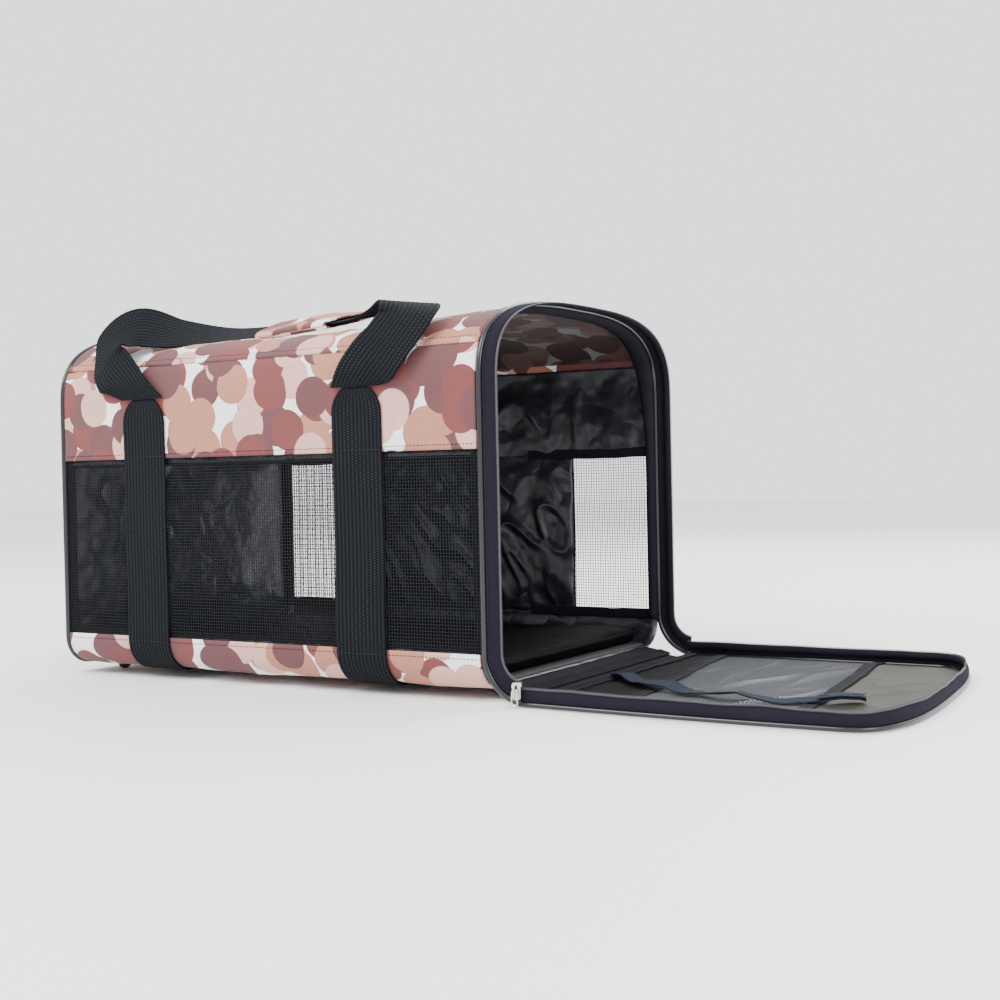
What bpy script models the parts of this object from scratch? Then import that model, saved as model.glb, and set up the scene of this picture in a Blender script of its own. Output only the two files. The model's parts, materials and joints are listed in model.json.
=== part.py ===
"""Soft-sided pet carrier: a box bag with an arched top, a fold-down zipped front door, two webbing
handles, mesh windows and a padded floor mat. Metres, +Z up, +X towards the door, -Y the near side.
The origin is on the ground, under the middle of the carrier with its door open."""

import math

import bmesh
import bpy
from mathutils import Vector

# ---------------------------------------------------------------- driving dimensions
BODY_LENGTH = 0.440
BODY_WIDTH = 0.310
CREST_Z = 0.308
ARCH_START_Z = 0.235
ARCH_POWER = 3.0
UNDERSIDE_Z = 0.0085
CORNER_RADIUS = 0.025
SEAM_Z = 0.270
BAND_Z = 0.190
WINDOW_Z = 0.037
TOP_SAG = 0.014

CLOTH = 0.0014
LINING = 0.0008
MESH = 0.0010
WEBBING = 0.0018
WEBBING_WIDTH = 0.048
PIPING_RADIUS = 0.0026
HOOP_RADIUS = 0.0011
# The piping's middle lies this far inside the outline.
PIPING_INSET = 0.0010
GUSSET_DEPTH = 0.0105
COIL_RADIUS = 0.0010
GAP = 0.0003

DOOR_LENGTH = 0.285
# Share by which the door, which lies a little askew, reaches less far along its far side.
DOOR_SKEW = 0.075
DOOR_RIM_TOP = 0.0122
DOOR_PIPING_RADIUS = 0.0020
DOOR_CLEAR_OF_HINGE = 0.046
ZIP_TURN_RADIUS = 0.036

MAT_THICKNESS = 0.013
MAT_SIDE_ROOM = 0.018
MAT_BACK_ROOM = 0.009
MAT_FRONT_ROOM = 0.012
BOARD_THICKNESS = 0.003
BOARD_END_ROOM = 0.006
FOOT_RADIUS = 0.0065
FOOT_SPREAD = 0.112

# ---------------------------------------------------------------- places worked out from them
HALF_WIDTH = BODY_WIDTH / 2
TEETH_REACH = PIPING_RADIUS + GAP + GUSSET_DEPTH + GAP + 2 * COIL_RADIUS
RIM_REACH = DOOR_RIM_TOP + GAP + 2 * COIL_RADIUS
HINGE_REACH = TEETH_REACH + GAP + RIM_REACH
# The furthest that the skewed door reaches from its hinge, with its piping.
DOOR_REACH = 0.27854
TOTAL_REACH = PIPING_RADIUS + BODY_LENGTH + HINGE_REACH + DOOR_REACH
BACK_X = PIPING_RADIUS - TOTAL_REACH / 2
FRONT_X = BACK_X + BODY_LENGTH
HINGE_X = FRONT_X + HINGE_REACH
MIDDLE_X = (BACK_X + FRONT_X) / 2
BACK_STRAP_X = MIDDLE_X - 0.119
FRONT_STRAP_X = MIDDLE_X + 0.108
STRAP_TOP_Z = 0.240
HANDLE_HINGE_Z = STRAP_TOP_Z + GAP / 2
WALL_Y = HALF_WIDTH - CLOTH / 2
HANDLE_HINGE_Y = HALF_WIDTH + 0.005
PANEL_START_X = BACK_X + PIPING_RADIUS + GAP
PANEL_END_X = FRONT_X - PIPING_RADIUS - GAP
BOARD_Z = UNDERSIDE_Z + CLOTH + GAP
MAT_Z = BOARD_Z + BOARD_THICKNESS + GAP
MAT_BACK_X = BACK_X + MAT_BACK_ROOM
# The lower bands wrap this far round under the body, where the flat underside panel takes over.
UNDER_SEAM_Y = HALF_WIDTH - CORNER_RADIUS - 0.008

COLLECTION = "pet_carrier"


# ---------------------------------------------------------------- scene and materials
def clear_scene():
    for obj in list(bpy.data.objects):
        bpy.data.objects.remove(obj, do_unlink=True)


def make_collection(name):
    collection = bpy.data.collections.new(name)
    bpy.context.scene.collection.children.link(collection)
    return collection


def make_material(name, colour, roughness, metallic=0.0):
    material = bpy.data.materials.new(name)
    material.use_nodes = True
    shader = material.node_tree.nodes["Principled BSDF"]
    shader.inputs["Base Color"].default_value = (*colour, 1.0)
    shader.inputs["Roughness"].default_value = roughness
    shader.inputs["Metallic"].default_value = metallic
    material.diffuse_color = (*colour, 1.0)
    return material


MATERIALS = {
    "printed_fabric": ((0.52, 0.24, 0.20), 0.75, 0.0),
    "webbing": ((0.035, 0.040, 0.047), 0.80, 0.0),
    "black_nylon": ((0.014, 0.015, 0.018), 0.35, 0.0),
    "window_mesh": ((0.020, 0.021, 0.023), 0.55, 0.0),
    "gusset_fabric": ((0.050, 0.042, 0.055), 0.80, 0.0),
    "piping_vinyl": ((0.012, 0.013, 0.015), 0.25, 0.0),
    "coated_lining": ((0.26, 0.25, 0.21), 0.60, 0.0),
    "mat_fabric": ((0.020, 0.021, 0.026), 0.85, 0.0),
    "board": ((0.18, 0.17, 0.15), 0.70, 0.0),
    "spring_wire": ((0.55, 0.56, 0.58), 0.30, 1.0),
    "nickel": ((0.72, 0.70, 0.66), 0.22, 1.0),
    "zip_coil": ((0.020, 0.018, 0.022), 0.45, 0.0),
    "foot_plastic": ((0.015, 0.015, 0.015), 0.45, 0.0),
}


# ---------------------------------------------------------------- outline of the body and the door
def roof(y, crest=CREST_Z):
    """Height of the arched outline at a distance y from the middle."""
    share = min(1.0, abs(y) / HALF_WIDTH)
    return ARCH_START_Z + (crest - ARCH_START_Z) * (1 - share**ARCH_POWER) ** (1 / ARCH_POWER)


def half_width(z, crest=CREST_Z):
    """Half of the outline's width at height z."""
    if z <= ARCH_START_Z:
        return HALF_WIDTH
    share = min(1.0, (z - ARCH_START_Z) / (crest - ARCH_START_Z))
    return HALF_WIDTH * (1 - share**ARCH_POWER) ** (1 / ARCH_POWER)


def arch_points(inset, steps, crest=CREST_Z, turn_from=0.0, turn_to=180.0):
    """(y, z) points over the arch, from the -Y side to the +Y side."""
    points = []
    for step in range(steps + 1):
        turn = math.radians(turn_from + (turn_to - turn_from) * step / steps)
        across = math.copysign(abs(math.cos(turn)) ** (2 / ARCH_POWER), -math.cos(turn))
        up = abs(math.sin(turn)) ** (2 / ARCH_POWER)
        y = (HALF_WIDTH - inset) * across
        points.append((y, ARCH_START_Z + (crest - inset - ARCH_START_Z) * up))
    return points


def lower_corner(inset, side, steps=6):
    """(y, z) points round the lower corner on one side, from the wall to the underside."""
    radius = CORNER_RADIUS - inset
    points = []
    for step in range(steps + 1):
        turn = math.radians(90 * step / steps)
        y = HALF_WIDTH - CORNER_RADIUS + radius * math.cos(turn)
        points.append((side * y, UNDERSIDE_Z + CORNER_RADIUS - radius * math.sin(turn)))
    return points


def body_outline(inset, arch_steps=28):
    """(y, z) points of the whole cross-section, going round from the -Y underside."""
    near = lower_corner(inset, -1)[::-1]
    far = lower_corner(inset, 1)
    return near + arch_points(inset, arch_steps) + far


def along(points, share):
    """The point at a share of the length of an open line of (y, z) points."""
    lengths = [math.dist(a, b) for a, b in zip(points, points[1:])]
    left = share * sum(lengths)
    for (a, b), length in zip(zip(points, points[1:]), lengths):
        if left <= length:
            return [p + (q - p) * left / length for p, q in zip(a, b)]
        left -= length
    return list(points[-1])


# ---------------------------------------------------------------- builders
class Builder:
    """Makes the named solids and puts them in the carrier's collection."""

    def __init__(self, collection):
        self.collection = collection
        self.materials = {name: make_material(name, *values) for name, values in MATERIALS.items()}
        self.parents = {}

    def add(self, name, data, material, parent=None):
        obj = bpy.data.objects.new(name, data)
        self.collection.objects.link(obj)
        data.materials.append(self.materials[material])
        if parent:
            obj.parent = self.parents[parent]
            obj.matrix_parent_inverse = self.parents[parent].matrix_world.inverted()
        return obj

    def axis(self, name, place):
        """An empty on a joint's axis, which the moving pieces hang from."""
        empty = bpy.data.objects.new(name, None)
        empty.location = place
        empty.empty_display_size = 0.03
        self.collection.objects.link(empty)
        bpy.context.view_layer.update()
        self.parents[name] = empty

    def sheet(self, name, shape, steps, thickness, material, parent=None, closed=False):
        """A grid bent into the surface shape(u, v), with u and v from 0 to 1, made solid."""
        mesh = bpy.data.meshes.new(name)
        work = bmesh.new()
        bmesh.ops.create_grid(work, x_segments=steps[0], y_segments=steps[1], size=0.5)
        for vert in work.verts:
            vert.co = Vector(shape(vert.co.x + 0.5, vert.co.y + 0.5))
        if closed:
            bmesh.ops.remove_doubles(work, verts=work.verts, dist=0.00002)
        bmesh.ops.recalc_face_normals(work, faces=work.faces)
        work.to_mesh(mesh)
        work.free()
        obj = self.add(name, mesh, material, parent)
        solid = obj.modifiers.new("thickness", "SOLIDIFY")
        solid.thickness = thickness
        solid.offset = 0.0
        solid.use_even_offset = True
        mesh.shade_smooth()
        return obj

    def tube(self, name, points, radius, material, parent=None, cyclic=False, sides=2):
        """A round tube along a line of points."""
        curve = bpy.data.curves.new(name, "CURVE")
        curve.dimensions = "3D"
        curve.bevel_depth = radius
        curve.bevel_resolution = sides
        curve.use_fill_caps = not cyclic
        spline = curve.splines.new("POLY")
        spline.points.add(len(points) - 1)
        for target, point in zip(spline.points, points):
            target.co = (*point, 1.0)
        spline.use_cyclic_u = cyclic
        return self.add(name, curve, material, parent)

    def plate(self, name, outline, thickness, centre, turn, material, parent=None):
        """A flat piece with a 2D outline; turn stands it up as needed."""
        curve = bpy.data.curves.new(name, "CURVE")
        curve.dimensions = "2D"
        curve.fill_mode = "BOTH"
        curve.extrude = thickness / 2
        spline = curve.splines.new("POLY")
        spline.points.add(len(outline) - 1)
        for target, (x, y) in zip(spline.points, outline):
            target.co = (x, y, 0.0, 1.0)
        spline.use_cyclic_u = True
        obj = self.add(name, curve, material)
        obj.location = centre
        obj.rotation_euler = turn
        if parent:
            bpy.context.view_layer.update()
            world = obj.matrix_world.copy()
            obj.parent = self.parents[parent]
            obj.matrix_parent_inverse = self.parents[parent].matrix_world.inverted()
            obj.matrix_world = world
        return obj

    def block(self, name, low, high, material, rounding=0.0, parent=None):
        """A box between two corners, with rounded edges."""
        bpy.ops.mesh.primitive_cube_add(size=1)
        obj = bpy.context.object
        obj.name = name
        obj.data.name = name
        for vert in obj.data.vertices:
            vert.co = [a + (b - a) * (c + 0.5) for a, b, c in zip(low, high, vert.co)]
        for collection in list(obj.users_collection):
            collection.objects.unlink(obj)
        self.collection.objects.link(obj)
        obj.data.materials.append(self.materials[material])
        if rounding:
            bevel = obj.modifiers.new("edges", "BEVEL")
            bevel.width = rounding
            bevel.segments = 2
        if parent:
            obj.parent = self.parents[parent]
            obj.matrix_parent_inverse = self.parents[parent].matrix_world.inverted()
        return obj


# ---------------------------------------------------------------- the body's fabric
def sag(x, y):
    """How far the top hangs down between the two hoops."""
    lengthwise = math.sin(math.pi * (x - BACK_X) / BODY_LENGTH)
    sideways = math.cos(math.pi / 2 * min(1.0, abs(y) / HALF_WIDTH))
    return TOP_SAG * lengthwise * sideways**0.6


def strip(line, inset_sag=True):
    """A surface along X whose cross-section is a line of (y, z) points."""

    def shape(u, v):
        x = PANEL_START_X + (PANEL_END_X - PANEL_START_X) * u
        y, z = along(line, v)
        if inset_sag:
            z -= sag(x, y) * min(1.0, max(0.0, (z - SEAM_Z) / (CREST_Z - SEAM_Z)) + 0.15)
        return x, y, z

    return shape


def wall_line(inset, low, high, side, steps=8):
    """(y, z) points up one side wall between two heights."""
    points = []
    for step in range(steps + 1):
        z = low + (high - low) * step / steps
        points.append((side * (half_width(z) - inset), z))
    return points


def seam_turn(height):
    """The angle on the arch at which the outline has this height."""
    share = (height - ARCH_START_Z) / (CREST_Z - ARCH_START_Z)
    return math.degrees(math.asin(share ** (ARCH_POWER / 2)))


def make_side(build, side_name, side):
    """The printed bands of one side, and the black lining behind the upper one."""
    edge = CLOTH / 2
    upper = wall_line(edge, BAND_Z + GAP, SEAM_Z - GAP, side)
    build.sheet(f"{side_name}_upper_band", strip(upper, False), (12, 8), CLOTH, "printed_fabric")
    inner = CLOTH + GAP + LINING / 2
    lining = wall_line(inner, BAND_Z + GAP, SEAM_Z - 0.010, side, 6)
    build.sheet(f"{side_name}_upper_lining", strip(lining, False), (8, 6), LINING, "black_nylon")
    lower = [(side * WALL_Y, WINDOW_Z - GAP)] + lower_corner(edge, side, 8)
    lower.append((side * UNDER_SEAM_Y, UNDERSIDE_Z + edge))
    build.sheet(f"{side_name}_lower_band", strip(lower, False), (12, 14), CLOTH, "printed_fabric")


def upright_plate(build, name, span_x, span_z, y, thickness, material):
    """A flat rectangle standing in a side wall."""
    half_x = (span_x[1] - span_x[0]) / 2
    half_z = (span_z[1] - span_z[0]) / 2
    outline = [(-half_x, -half_z), (half_x, -half_z), (half_x, half_z), (-half_x, half_z)]
    centre = (sum(span_x) / 2, y, sum(span_z) / 2)
    build.plate(name, outline, thickness, centre, (math.pi / 2, 0, 0), material)


def make_windows(build):
    """The near mesh side, and the far side's two mesh bays with the pocket between them."""
    height = (WINDOW_Z, BAND_Z)
    whole = (PANEL_START_X, PANEL_END_X)
    upright_plate(build, "near_mesh_window", whole, height, -WALL_Y, MESH, "window_mesh")
    bay_back = BACK_STRAP_X + WEBBING_WIDTH / 2
    bay_front = FRONT_STRAP_X - WEBBING_WIDTH / 2
    back_bay = (PANEL_START_X, bay_back - GAP)
    front_bay = (bay_front + GAP, PANEL_END_X)
    upright_plate(build, "far_back_mesh_window", back_bay, height, WALL_Y, MESH, "window_mesh")
    upright_plate(build, "far_front_mesh_window", front_bay, height, WALL_Y, MESH, "window_mesh")
    middle = (bay_back, bay_front)
    upright_plate(build, "far_pocket_wall", middle, height, WALL_Y, CLOTH, "black_nylon")
    pocket_y = HALF_WIDTH + GAP + CLOTH / 2
    pocket = (bay_back + 0.001, bay_front - 0.001)
    body = (WINDOW_Z - 0.004, BAND_Z - 0.004)
    hem = (BAND_Z - 0.0035, BAND_Z + 0.0045)
    upright_plate(build, "far_storage_pocket", pocket, body, pocket_y, CLOTH, "black_nylon")
    upright_plate(build, "far_pocket_binding", pocket, hem, pocket_y, CLOTH, "webbing")


def make_top_and_bottom(build):
    turn = seam_turn(SEAM_Z + 4 * GAP)
    top = arch_points(CLOTH / 2, 22, turn_from=turn, turn_to=180 - turn)
    build.sheet("top_panel", strip(top), (14, 22), CLOTH, "printed_fabric")
    flat_y = UNDER_SEAM_Y - GAP
    low = (PANEL_START_X, -flat_y, UNDERSIDE_Z)
    high = (PANEL_END_X, flat_y, UNDERSIDE_Z + CLOTH)
    build.block("bottom_panel", low, high, "printed_fabric")
    board_y = HALF_WIDTH - CORNER_RADIUS
    board_low = (BACK_X + BOARD_END_ROOM, -board_y, BOARD_Z)
    board_high = (FRONT_X - BOARD_END_ROOM, board_y, BOARD_Z + BOARD_THICKNESS)
    build.block("base_board", board_low, board_high, "board", 0.001)


def make_back(build):
    """The arched back end: printed outside, black inside."""
    inset = PIPING_INSET + PIPING_RADIUS + GAP
    outline = body_outline(inset)
    turn = (math.pi / 2, 0, math.pi / 2)
    build.plate("back_panel", outline, CLOTH, (BACK_X, 0, 0), turn, "printed_fabric")
    inner = body_outline(inset + CLOTH + LINING + 0.0035)
    place = (BACK_X + CLOTH / 2 + GAP + LINING / 2, 0, 0)
    build.plate("back_lining", inner, LINING, place, turn, "black_nylon")
    loop = [(BACK_X, y, z) for y, z in body_outline(PIPING_INSET)]
    build.tube("back_piping", loop, PIPING_RADIUS, "piping_vinyl", cyclic=True)


def make_hoop(build, name, x):
    """A sprung steel wire that holds the arch up, in its channel just inside the fabric."""
    inset = CLOTH + GAP + LINING + GAP + HOOP_RADIUS + 0.0012
    legs = UNDERSIDE_Z + CORNER_RADIUS + 0.006
    line = [(-(HALF_WIDTH - inset), legs)] + arch_points(inset, 26)
    line.append((HALF_WIDTH - inset, legs))
    build.tube(name, [(x, y, z) for y, z in line], HOOP_RADIUS, "spring_wire", sides=1)


# ---------------------------------------------------------------- the mouth and its zip
def mouth_line(forward, inset=0.0, arch_steps=28, turn_steps=7):
    """(x, y, z) points of the mouth's edge: down each side, over the arch, turning forward at the
    foot to meet the door. forward is how far in front of the piping the line runs."""
    radius = ZIP_TURN_RADIUS - forward
    centre_x = FRONT_X + ZIP_TURN_RADIUS
    centre_z = DOOR_PIPING_RADIUS + ZIP_TURN_RADIUS + GAP
    end_turn = math.asin((HINGE_X - 0.004 - centre_x) / ZIP_TURN_RADIUS)
    foot = []
    for step in range(turn_steps + 1):
        turn = math.radians(180) + (math.pi / 2 + end_turn) * step / turn_steps
        foot.append((centre_x + radius * math.cos(turn), centre_z + radius * math.sin(turn)))
    y = HALF_WIDTH - inset
    near = [(x, -y, z) for x, z in reversed(foot)]
    far = [(x, y, z) for x, z in foot]
    arch = [(FRONT_X + forward, side, z) for side, z in arch_points(inset, arch_steps)]
    return near + arch + far


def ribbon_between(first, second):
    """A surface whose two long edges follow two lines with the same number of points."""
    last = len(first) - 1

    def shape(u, v):
        place = u * last
        index = min(int(place), last - 1)
        share = place - index
        a = Vector(first[index]).lerp(Vector(first[index + 1]), share)
        b = Vector(second[index]).lerp(Vector(second[index + 1]), share)
        return a.lerp(b, v)

    return shape


def make_mouth(build):
    inset = PIPING_INSET
    build.tube("front_piping", mouth_line(0.0, inset), PIPING_RADIUS, "piping_vinyl")
    start = PIPING_RADIUS + GAP
    first = mouth_line(start, inset)
    second = mouth_line(start + GUSSET_DEPTH, inset)
    steps = (len(first) - 1, 1)
    build.sheet("front_gusset", ribbon_between(first, second), steps, CLOTH, "gusset_fabric")
    coil = start + GUSSET_DEPTH + GAP + COIL_RADIUS
    build.tube("front_zip_coil", mouth_line(coil, inset), COIL_RADIUS, "zip_coil", sides=1)


def make_sill(build):
    """The strip of fabric that joins the underside to the door across the front."""
    y = HALF_WIDTH - CORNER_RADIUS - 0.006
    first = (FRONT_X - PIPING_RADIUS + GAP, UNDERSIDE_Z + CLOTH / 2)
    last = (HINGE_X - 0.0030, DOOR_PIPING_RADIUS)

    def shape(u, v):
        ease = u * u * (3 - 2 * u)
        x = first[0] + (last[0] - first[0]) * u
        return x, y * (2 * v - 1), first[1] + (last[1] - first[1]) * ease

    build.sheet("front_sill", shape, (6, 2), CLOTH, "gusset_fabric")


# ---------------------------------------------------------------- the door, lying open
DOOR_Z = DOOR_PIPING_RADIUS + 0.0002
# Each slanting seam's distance from the hinge at the near and the far edge.
FIRST_SEAM = (0.078, 0.034)
SECOND_SEAM = (0.206, 0.176)
BINDING_WIDTH = 0.011
BINDING = 0.0012
BINDING_Z = DOOR_Z + CLOTH / 2 + GAP + BINDING / 2
TIE_WIDTH = 0.015
TIE = 0.0014
TIE_Z = BINDING_Z + BINDING / 2 + GAP + TIE / 2 + 0.0001
# The tie's middle line: distance from the hinge, then Y.
TIE_ROUTE = (
    (0.010, -0.012),
    (0.050, -0.055),
    (0.100, -0.085),
    (0.150, -0.098),
    (0.200, -0.088),
    (0.232, -0.075),
)


def seam_reach(seam, y):
    """Distance from the hinge of a slanting seam at y: the seam gives its near and far ends."""
    return seam[0] + (seam[1] - seam[0]) * (y + HALF_WIDTH) / BODY_WIDTH


def door_arch(inset, steps=26):
    """(x, y) points round the door's end, measured from the hinge."""
    points = []
    for side, reach in arch_points(inset, steps, DOOR_LENGTH):
        points.append((reach * (1 - DOOR_SKEW * (side + HALF_WIDTH) / BODY_WIDTH), side))
    return points


def door_outline(inset, start, steps=26):
    """(x, y) points of the door's edge, measured from the hinge, from the near to the far side."""
    y = HALF_WIDTH - inset
    return [(start, -y)] + door_arch(inset, steps) + [(start, y)]


def door_plate(build, name, outline, thickness, z, material):
    build.plate(name, outline, thickness, (HINGE_X, 0, z), (0, 0, 0), material, "door_axis")


def make_door_panels(build):
    inset = DOOR_PIPING_RADIUS + GAP
    gap = GAP / 2
    y = HALF_WIDTH - 0.0065
    low = 0.003
    first_near = seam_reach(FIRST_SEAM, -y)
    first_far = seam_reach(FIRST_SEAM, y)
    second_near = seam_reach(SECOND_SEAM, -y)
    second_far = seam_reach(SECOND_SEAM, y)
    lower = [(low, -y), (first_near - gap, -y), (first_far - gap, y), (low, y)]
    door_plate(build, "door_lower_panel", lower, CLOTH, DOOR_Z, "coated_lining")
    window = [(first_near + gap, -y), (second_near - gap, -y)]
    window += [(second_far - gap, y), (first_far + gap, y)]
    door_plate(build, "door_mesh_window", window, MESH, DOOR_Z, "window_mesh")
    arch = door_arch(inset + 0.002)
    tip = [(second_near + gap, -y)] + [p for p in arch if abs(p[1]) < y] + [(second_far + gap, y)]
    door_plate(build, "door_tip_panel", tip, CLOTH, DOOR_Z, "coated_lining")


def make_door_bindings(build):
    """Tapes over the door's seams, lying on its inner face."""
    y = HALF_WIDTH - 0.0095
    for name, seam in (("door_first_binding", FIRST_SEAM), ("door_second_binding", SECOND_SEAM)):
        near = seam_reach(seam, -y)
        far = seam_reach(seam, y)
        half = BINDING_WIDTH / 2
        tape = [(near - half, -y), (near + half, -y), (far + half, y), (far - half, y)]
        door_plate(build, name, tape, BINDING, BINDING_Z, "webbing")
    y -= 0.006
    start, end = 0.004, 0.013
    hem = [(start, -y), (end, -y), (end, y), (start, y)]
    door_plate(build, "door_hinge_binding", hem, BINDING, BINDING_Z, "webbing")


def make_door_rim(build):
    """The door's upright gusset with its zip coil, and the piping round its foot."""
    outer = door_outline(PIPING_INSET, DOOR_CLEAR_OF_HINGE)

    def line(z):
        return [(HINGE_X + x, y, z) for x, y in outer]

    build.tube("door_piping", line(DOOR_Z), DOOR_PIPING_RADIUS, "piping_vinyl", "door_axis")
    foot = DOOR_Z + DOOR_PIPING_RADIUS + GAP
    rim = ribbon_between(line(foot), line(DOOR_RIM_TOP))
    build.sheet("door_gusset", rim, (len(outer) - 1, 1), CLOTH, "gusset_fabric", "door_axis")
    coil = DOOR_RIM_TOP + GAP + COIL_RADIUS
    build.tube("door_zip_coil", line(coil), COIL_RADIUS, "zip_coil", "door_axis", sides=1)


def make_door_tie(build):
    """The loose strap sewn to the hinge side, which ties the door up when it is rolled."""

    def shape(u, v):
        place = u * (len(TIE_ROUTE) - 1)
        index = min(int(place), len(TIE_ROUTE) - 2)
        a = Vector(TIE_ROUTE[index])
        b = Vector(TIE_ROUTE[index + 1])
        side = (b - a).orthogonal().normalized() * TIE_WIDTH
        x, y = a.lerp(b, place - index) + side * (v - 0.5)
        return HINGE_X + x, y, TIE_Z

    build.sheet("door_tie_strap", shape, (10, 1), TIE, "webbing", "door_axis")


# ---------------------------------------------------------------- straps and handles
def make_body_strap(build, name, x):
    """Webbing sewn up both sides and under the body, as one length."""
    out = WEBBING / 2 + GAP

    def half_line(side):
        foot = lower_corner(-out, side, 8)
        return [(side * (HALF_WIDTH + out), STRAP_TOP_Z - 0.004)] + foot

    line = half_line(-1) + half_line(1)[::-1]

    def shape(u, v):
        place = u * (len(line) - 1)
        index = min(int(place), len(line) - 2)
        share = place - index
        y, z = [a + (b - a) * share for a, b in zip(line[index], line[index + 1])]
        return x + WEBBING_WIDTH * (v - 0.5), y, z

    build.sheet(name, shape, (len(line) - 1, 1), WEBBING, "webbing")


def smooth_route(points, share):
    """A point on the smooth curve through a list of vectors."""
    last = len(points) - 1
    place = share * last
    index = min(int(place), last - 1)
    t = place - index
    a = points[max(index - 1, 0)]
    b = points[index]
    c = points[index + 1]
    d = points[min(index + 2, last)]
    square = 2 * a - 5 * b + 4 * c - d
    cube = 3 * b - 3 * c + d - a
    return 0.5 * (2 * b + (c - a) * t + square * t**2 + cube * t**3)


# Each entry: distance from the middle of the body along X, distance from the middle plane, height,
# then the direction across the webbing, in the same axes with the middle plane direction outward.
NEAR_ROUTE = [
    ((-0.119, 0.1575, 0.2415), (1.0, 0.0, 0.0)),
    ((-0.138, 0.1610, 0.2565), (0.95, 0.0, -0.1)),
    ((-0.157, 0.1580, 0.2740), (0.85, 0.2, -0.25)),
    ((-0.160, 0.1510, 0.2930), (0.5, 0.5, -0.6)),
    ((-0.145, 0.1340, 0.3065), (0.2, 0.6, -0.75)),
    ((-0.118, 0.1150, 0.3065), (0.1, 0.8, -0.5)),
    ((-0.084, 0.0960, 0.3025), (0.0, 0.92, -0.32)),
    ((-0.043, 0.0850, 0.3025), (0.0, 1.0, -0.26)),
    ((0.003, 0.0800, 0.3040), (0.0, 1.0, -0.26)),
    ((0.045, 0.0820, 0.3040), (-0.1, 1.0, -0.24)),
    ((0.082, 0.0910, 0.3040), (-0.4, 0.9, -0.18)),
    ((0.114, 0.1070, 0.3060), (-0.75, 0.65, -0.05)),
    ((0.140, 0.1270, 0.3070), (-0.9, 0.4, 0.1)),
    ((0.152, 0.1480, 0.2960), (-1.0, 0.1, 0.2)),
    ((0.141, 0.1600, 0.2740), (-1.0, 0.0, 0.2)),
    ((0.124, 0.1620, 0.2560), (-1.0, 0.0, 0.1)),
    ((0.108, 0.1575, 0.2415), (-1.0, 0.0, 0.0)),
]
FAR_ROUTE = [
    ((-0.119, 0.1575, 0.2415), (1.0, 0.0, 0.0)),
    ((-0.116, 0.1630, 0.2640), (1.0, 0.0, 0.0)),
    ((-0.110, 0.1530, 0.2880), (1.0, 0.1, 0.0)),
    ((-0.096, 0.1260, 0.3035), (0.8, 0.5, -0.1)),
    ((-0.070, 0.0980, 0.3040), (0.4, 0.9, -0.2)),
    ((-0.030, 0.0830, 0.3040), (0.0, 1.0, -0.25)),
    ((0.010, 0.0830, 0.3050), (0.0, 1.0, -0.25)),
    ((0.042, 0.0950, 0.3110), (-0.35, 0.9, -0.25)),
    ((0.066, 0.1130, 0.3150), (-0.7, 0.65, -0.15)),
    ((0.092, 0.1370, 0.3100), (-1.0, 0.3, 0.0)),
    ((0.110, 0.1560, 0.2890), (-1.0, 0.0, 0.0)),
    ((0.110, 0.1630, 0.2640), (-1.0, 0.0, 0.0)),
    ((0.108, 0.1575, 0.2415), (-1.0, 0.0, 0.0)),
]
# Shares of the near route at which the sleeve starts and ends.
WRAP_SPAN = (0.447, 0.566)
WRAP_ROOM = 0.0014
WRAP_LIFT = 0.0017
HANDLE_STEPS = 42
ROUTE_STEP = 0.004
# Share of the route over which the webbing swings from level, where it is sewn, to square.
SQUARED_FROM = 0.10


def handle_frames(route, side):
    """A function of the share of the route that gives its middle, across and normal directions."""
    centres = [Vector((MIDDLE_X + x, side * y, z)) for (x, y, z), _ in route]
    acrosses = [Vector((x, side * y, z)) for _, (x, y, z) in route]

    def frame(share):
        share = min(1.0, max(0.0, share))
        middle = smooth_route(centres, share)
        ahead = smooth_route(centres, min(1.0, share + ROUTE_STEP))
        ahead -= smooth_route(centres, max(0.0, share - ROUTE_STEP))
        ahead.normalize()
        across = smooth_route(acrosses, share).normalized()
        square = min(1.0, min(share, 1 - share) / SQUARED_FROM)
        across = (across - ahead * across.dot(ahead) * square).normalized()
        return middle, across, across.cross(ahead).normalized()

    return frame


def make_handle(build, name, route, side, parent):
    frame = handle_frames(route, side)

    def shape(u, v):
        middle, across, _ = frame(u)
        return middle + across * WEBBING_WIDTH * (v - 0.5)

    build.sheet(name, shape, (HANDLE_STEPS, 2), WEBBING, "webbing", parent)


def make_wrap(build):
    """The hemmed sleeve that closes round the middle of the near handle."""
    frame = handle_frames(NEAR_ROUTE, -1)
    start, end = WRAP_SPAN
    half_wide = WEBBING_WIDTH / 2 + WRAP_ROOM + CLOTH / 2
    half_thick = WEBBING / 2 + WRAP_LIFT + CLOTH / 2

    def shape(u, v):
        middle, across, normal = frame(start + (end - start) * v)
        turn = 2 * math.pi * u
        side = math.copysign(abs(math.cos(turn)) ** 0.35, math.cos(turn)) * half_wide
        lift = math.copysign(abs(math.sin(turn)) ** 0.6, math.sin(turn)) * half_thick
        return middle + across * side + normal * lift

    parent = "near_handle_axis"
    build.sheet("handle_wrap", shape, (20, 8), CLOTH, "printed_fabric", parent, closed=True)


# ---------------------------------------------------------------- mat, feet and zip slider
def make_mat(build):
    y = HALF_WIDTH - MAT_SIDE_ROOM
    low = (MAT_BACK_X, -y, MAT_Z)
    high = (FRONT_X - MAT_FRONT_ROOM, y, MAT_Z + MAT_THICKNESS)
    build.block("floor_mat", low, high, "mat_fabric", 0.004, "mat_axis")


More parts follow.
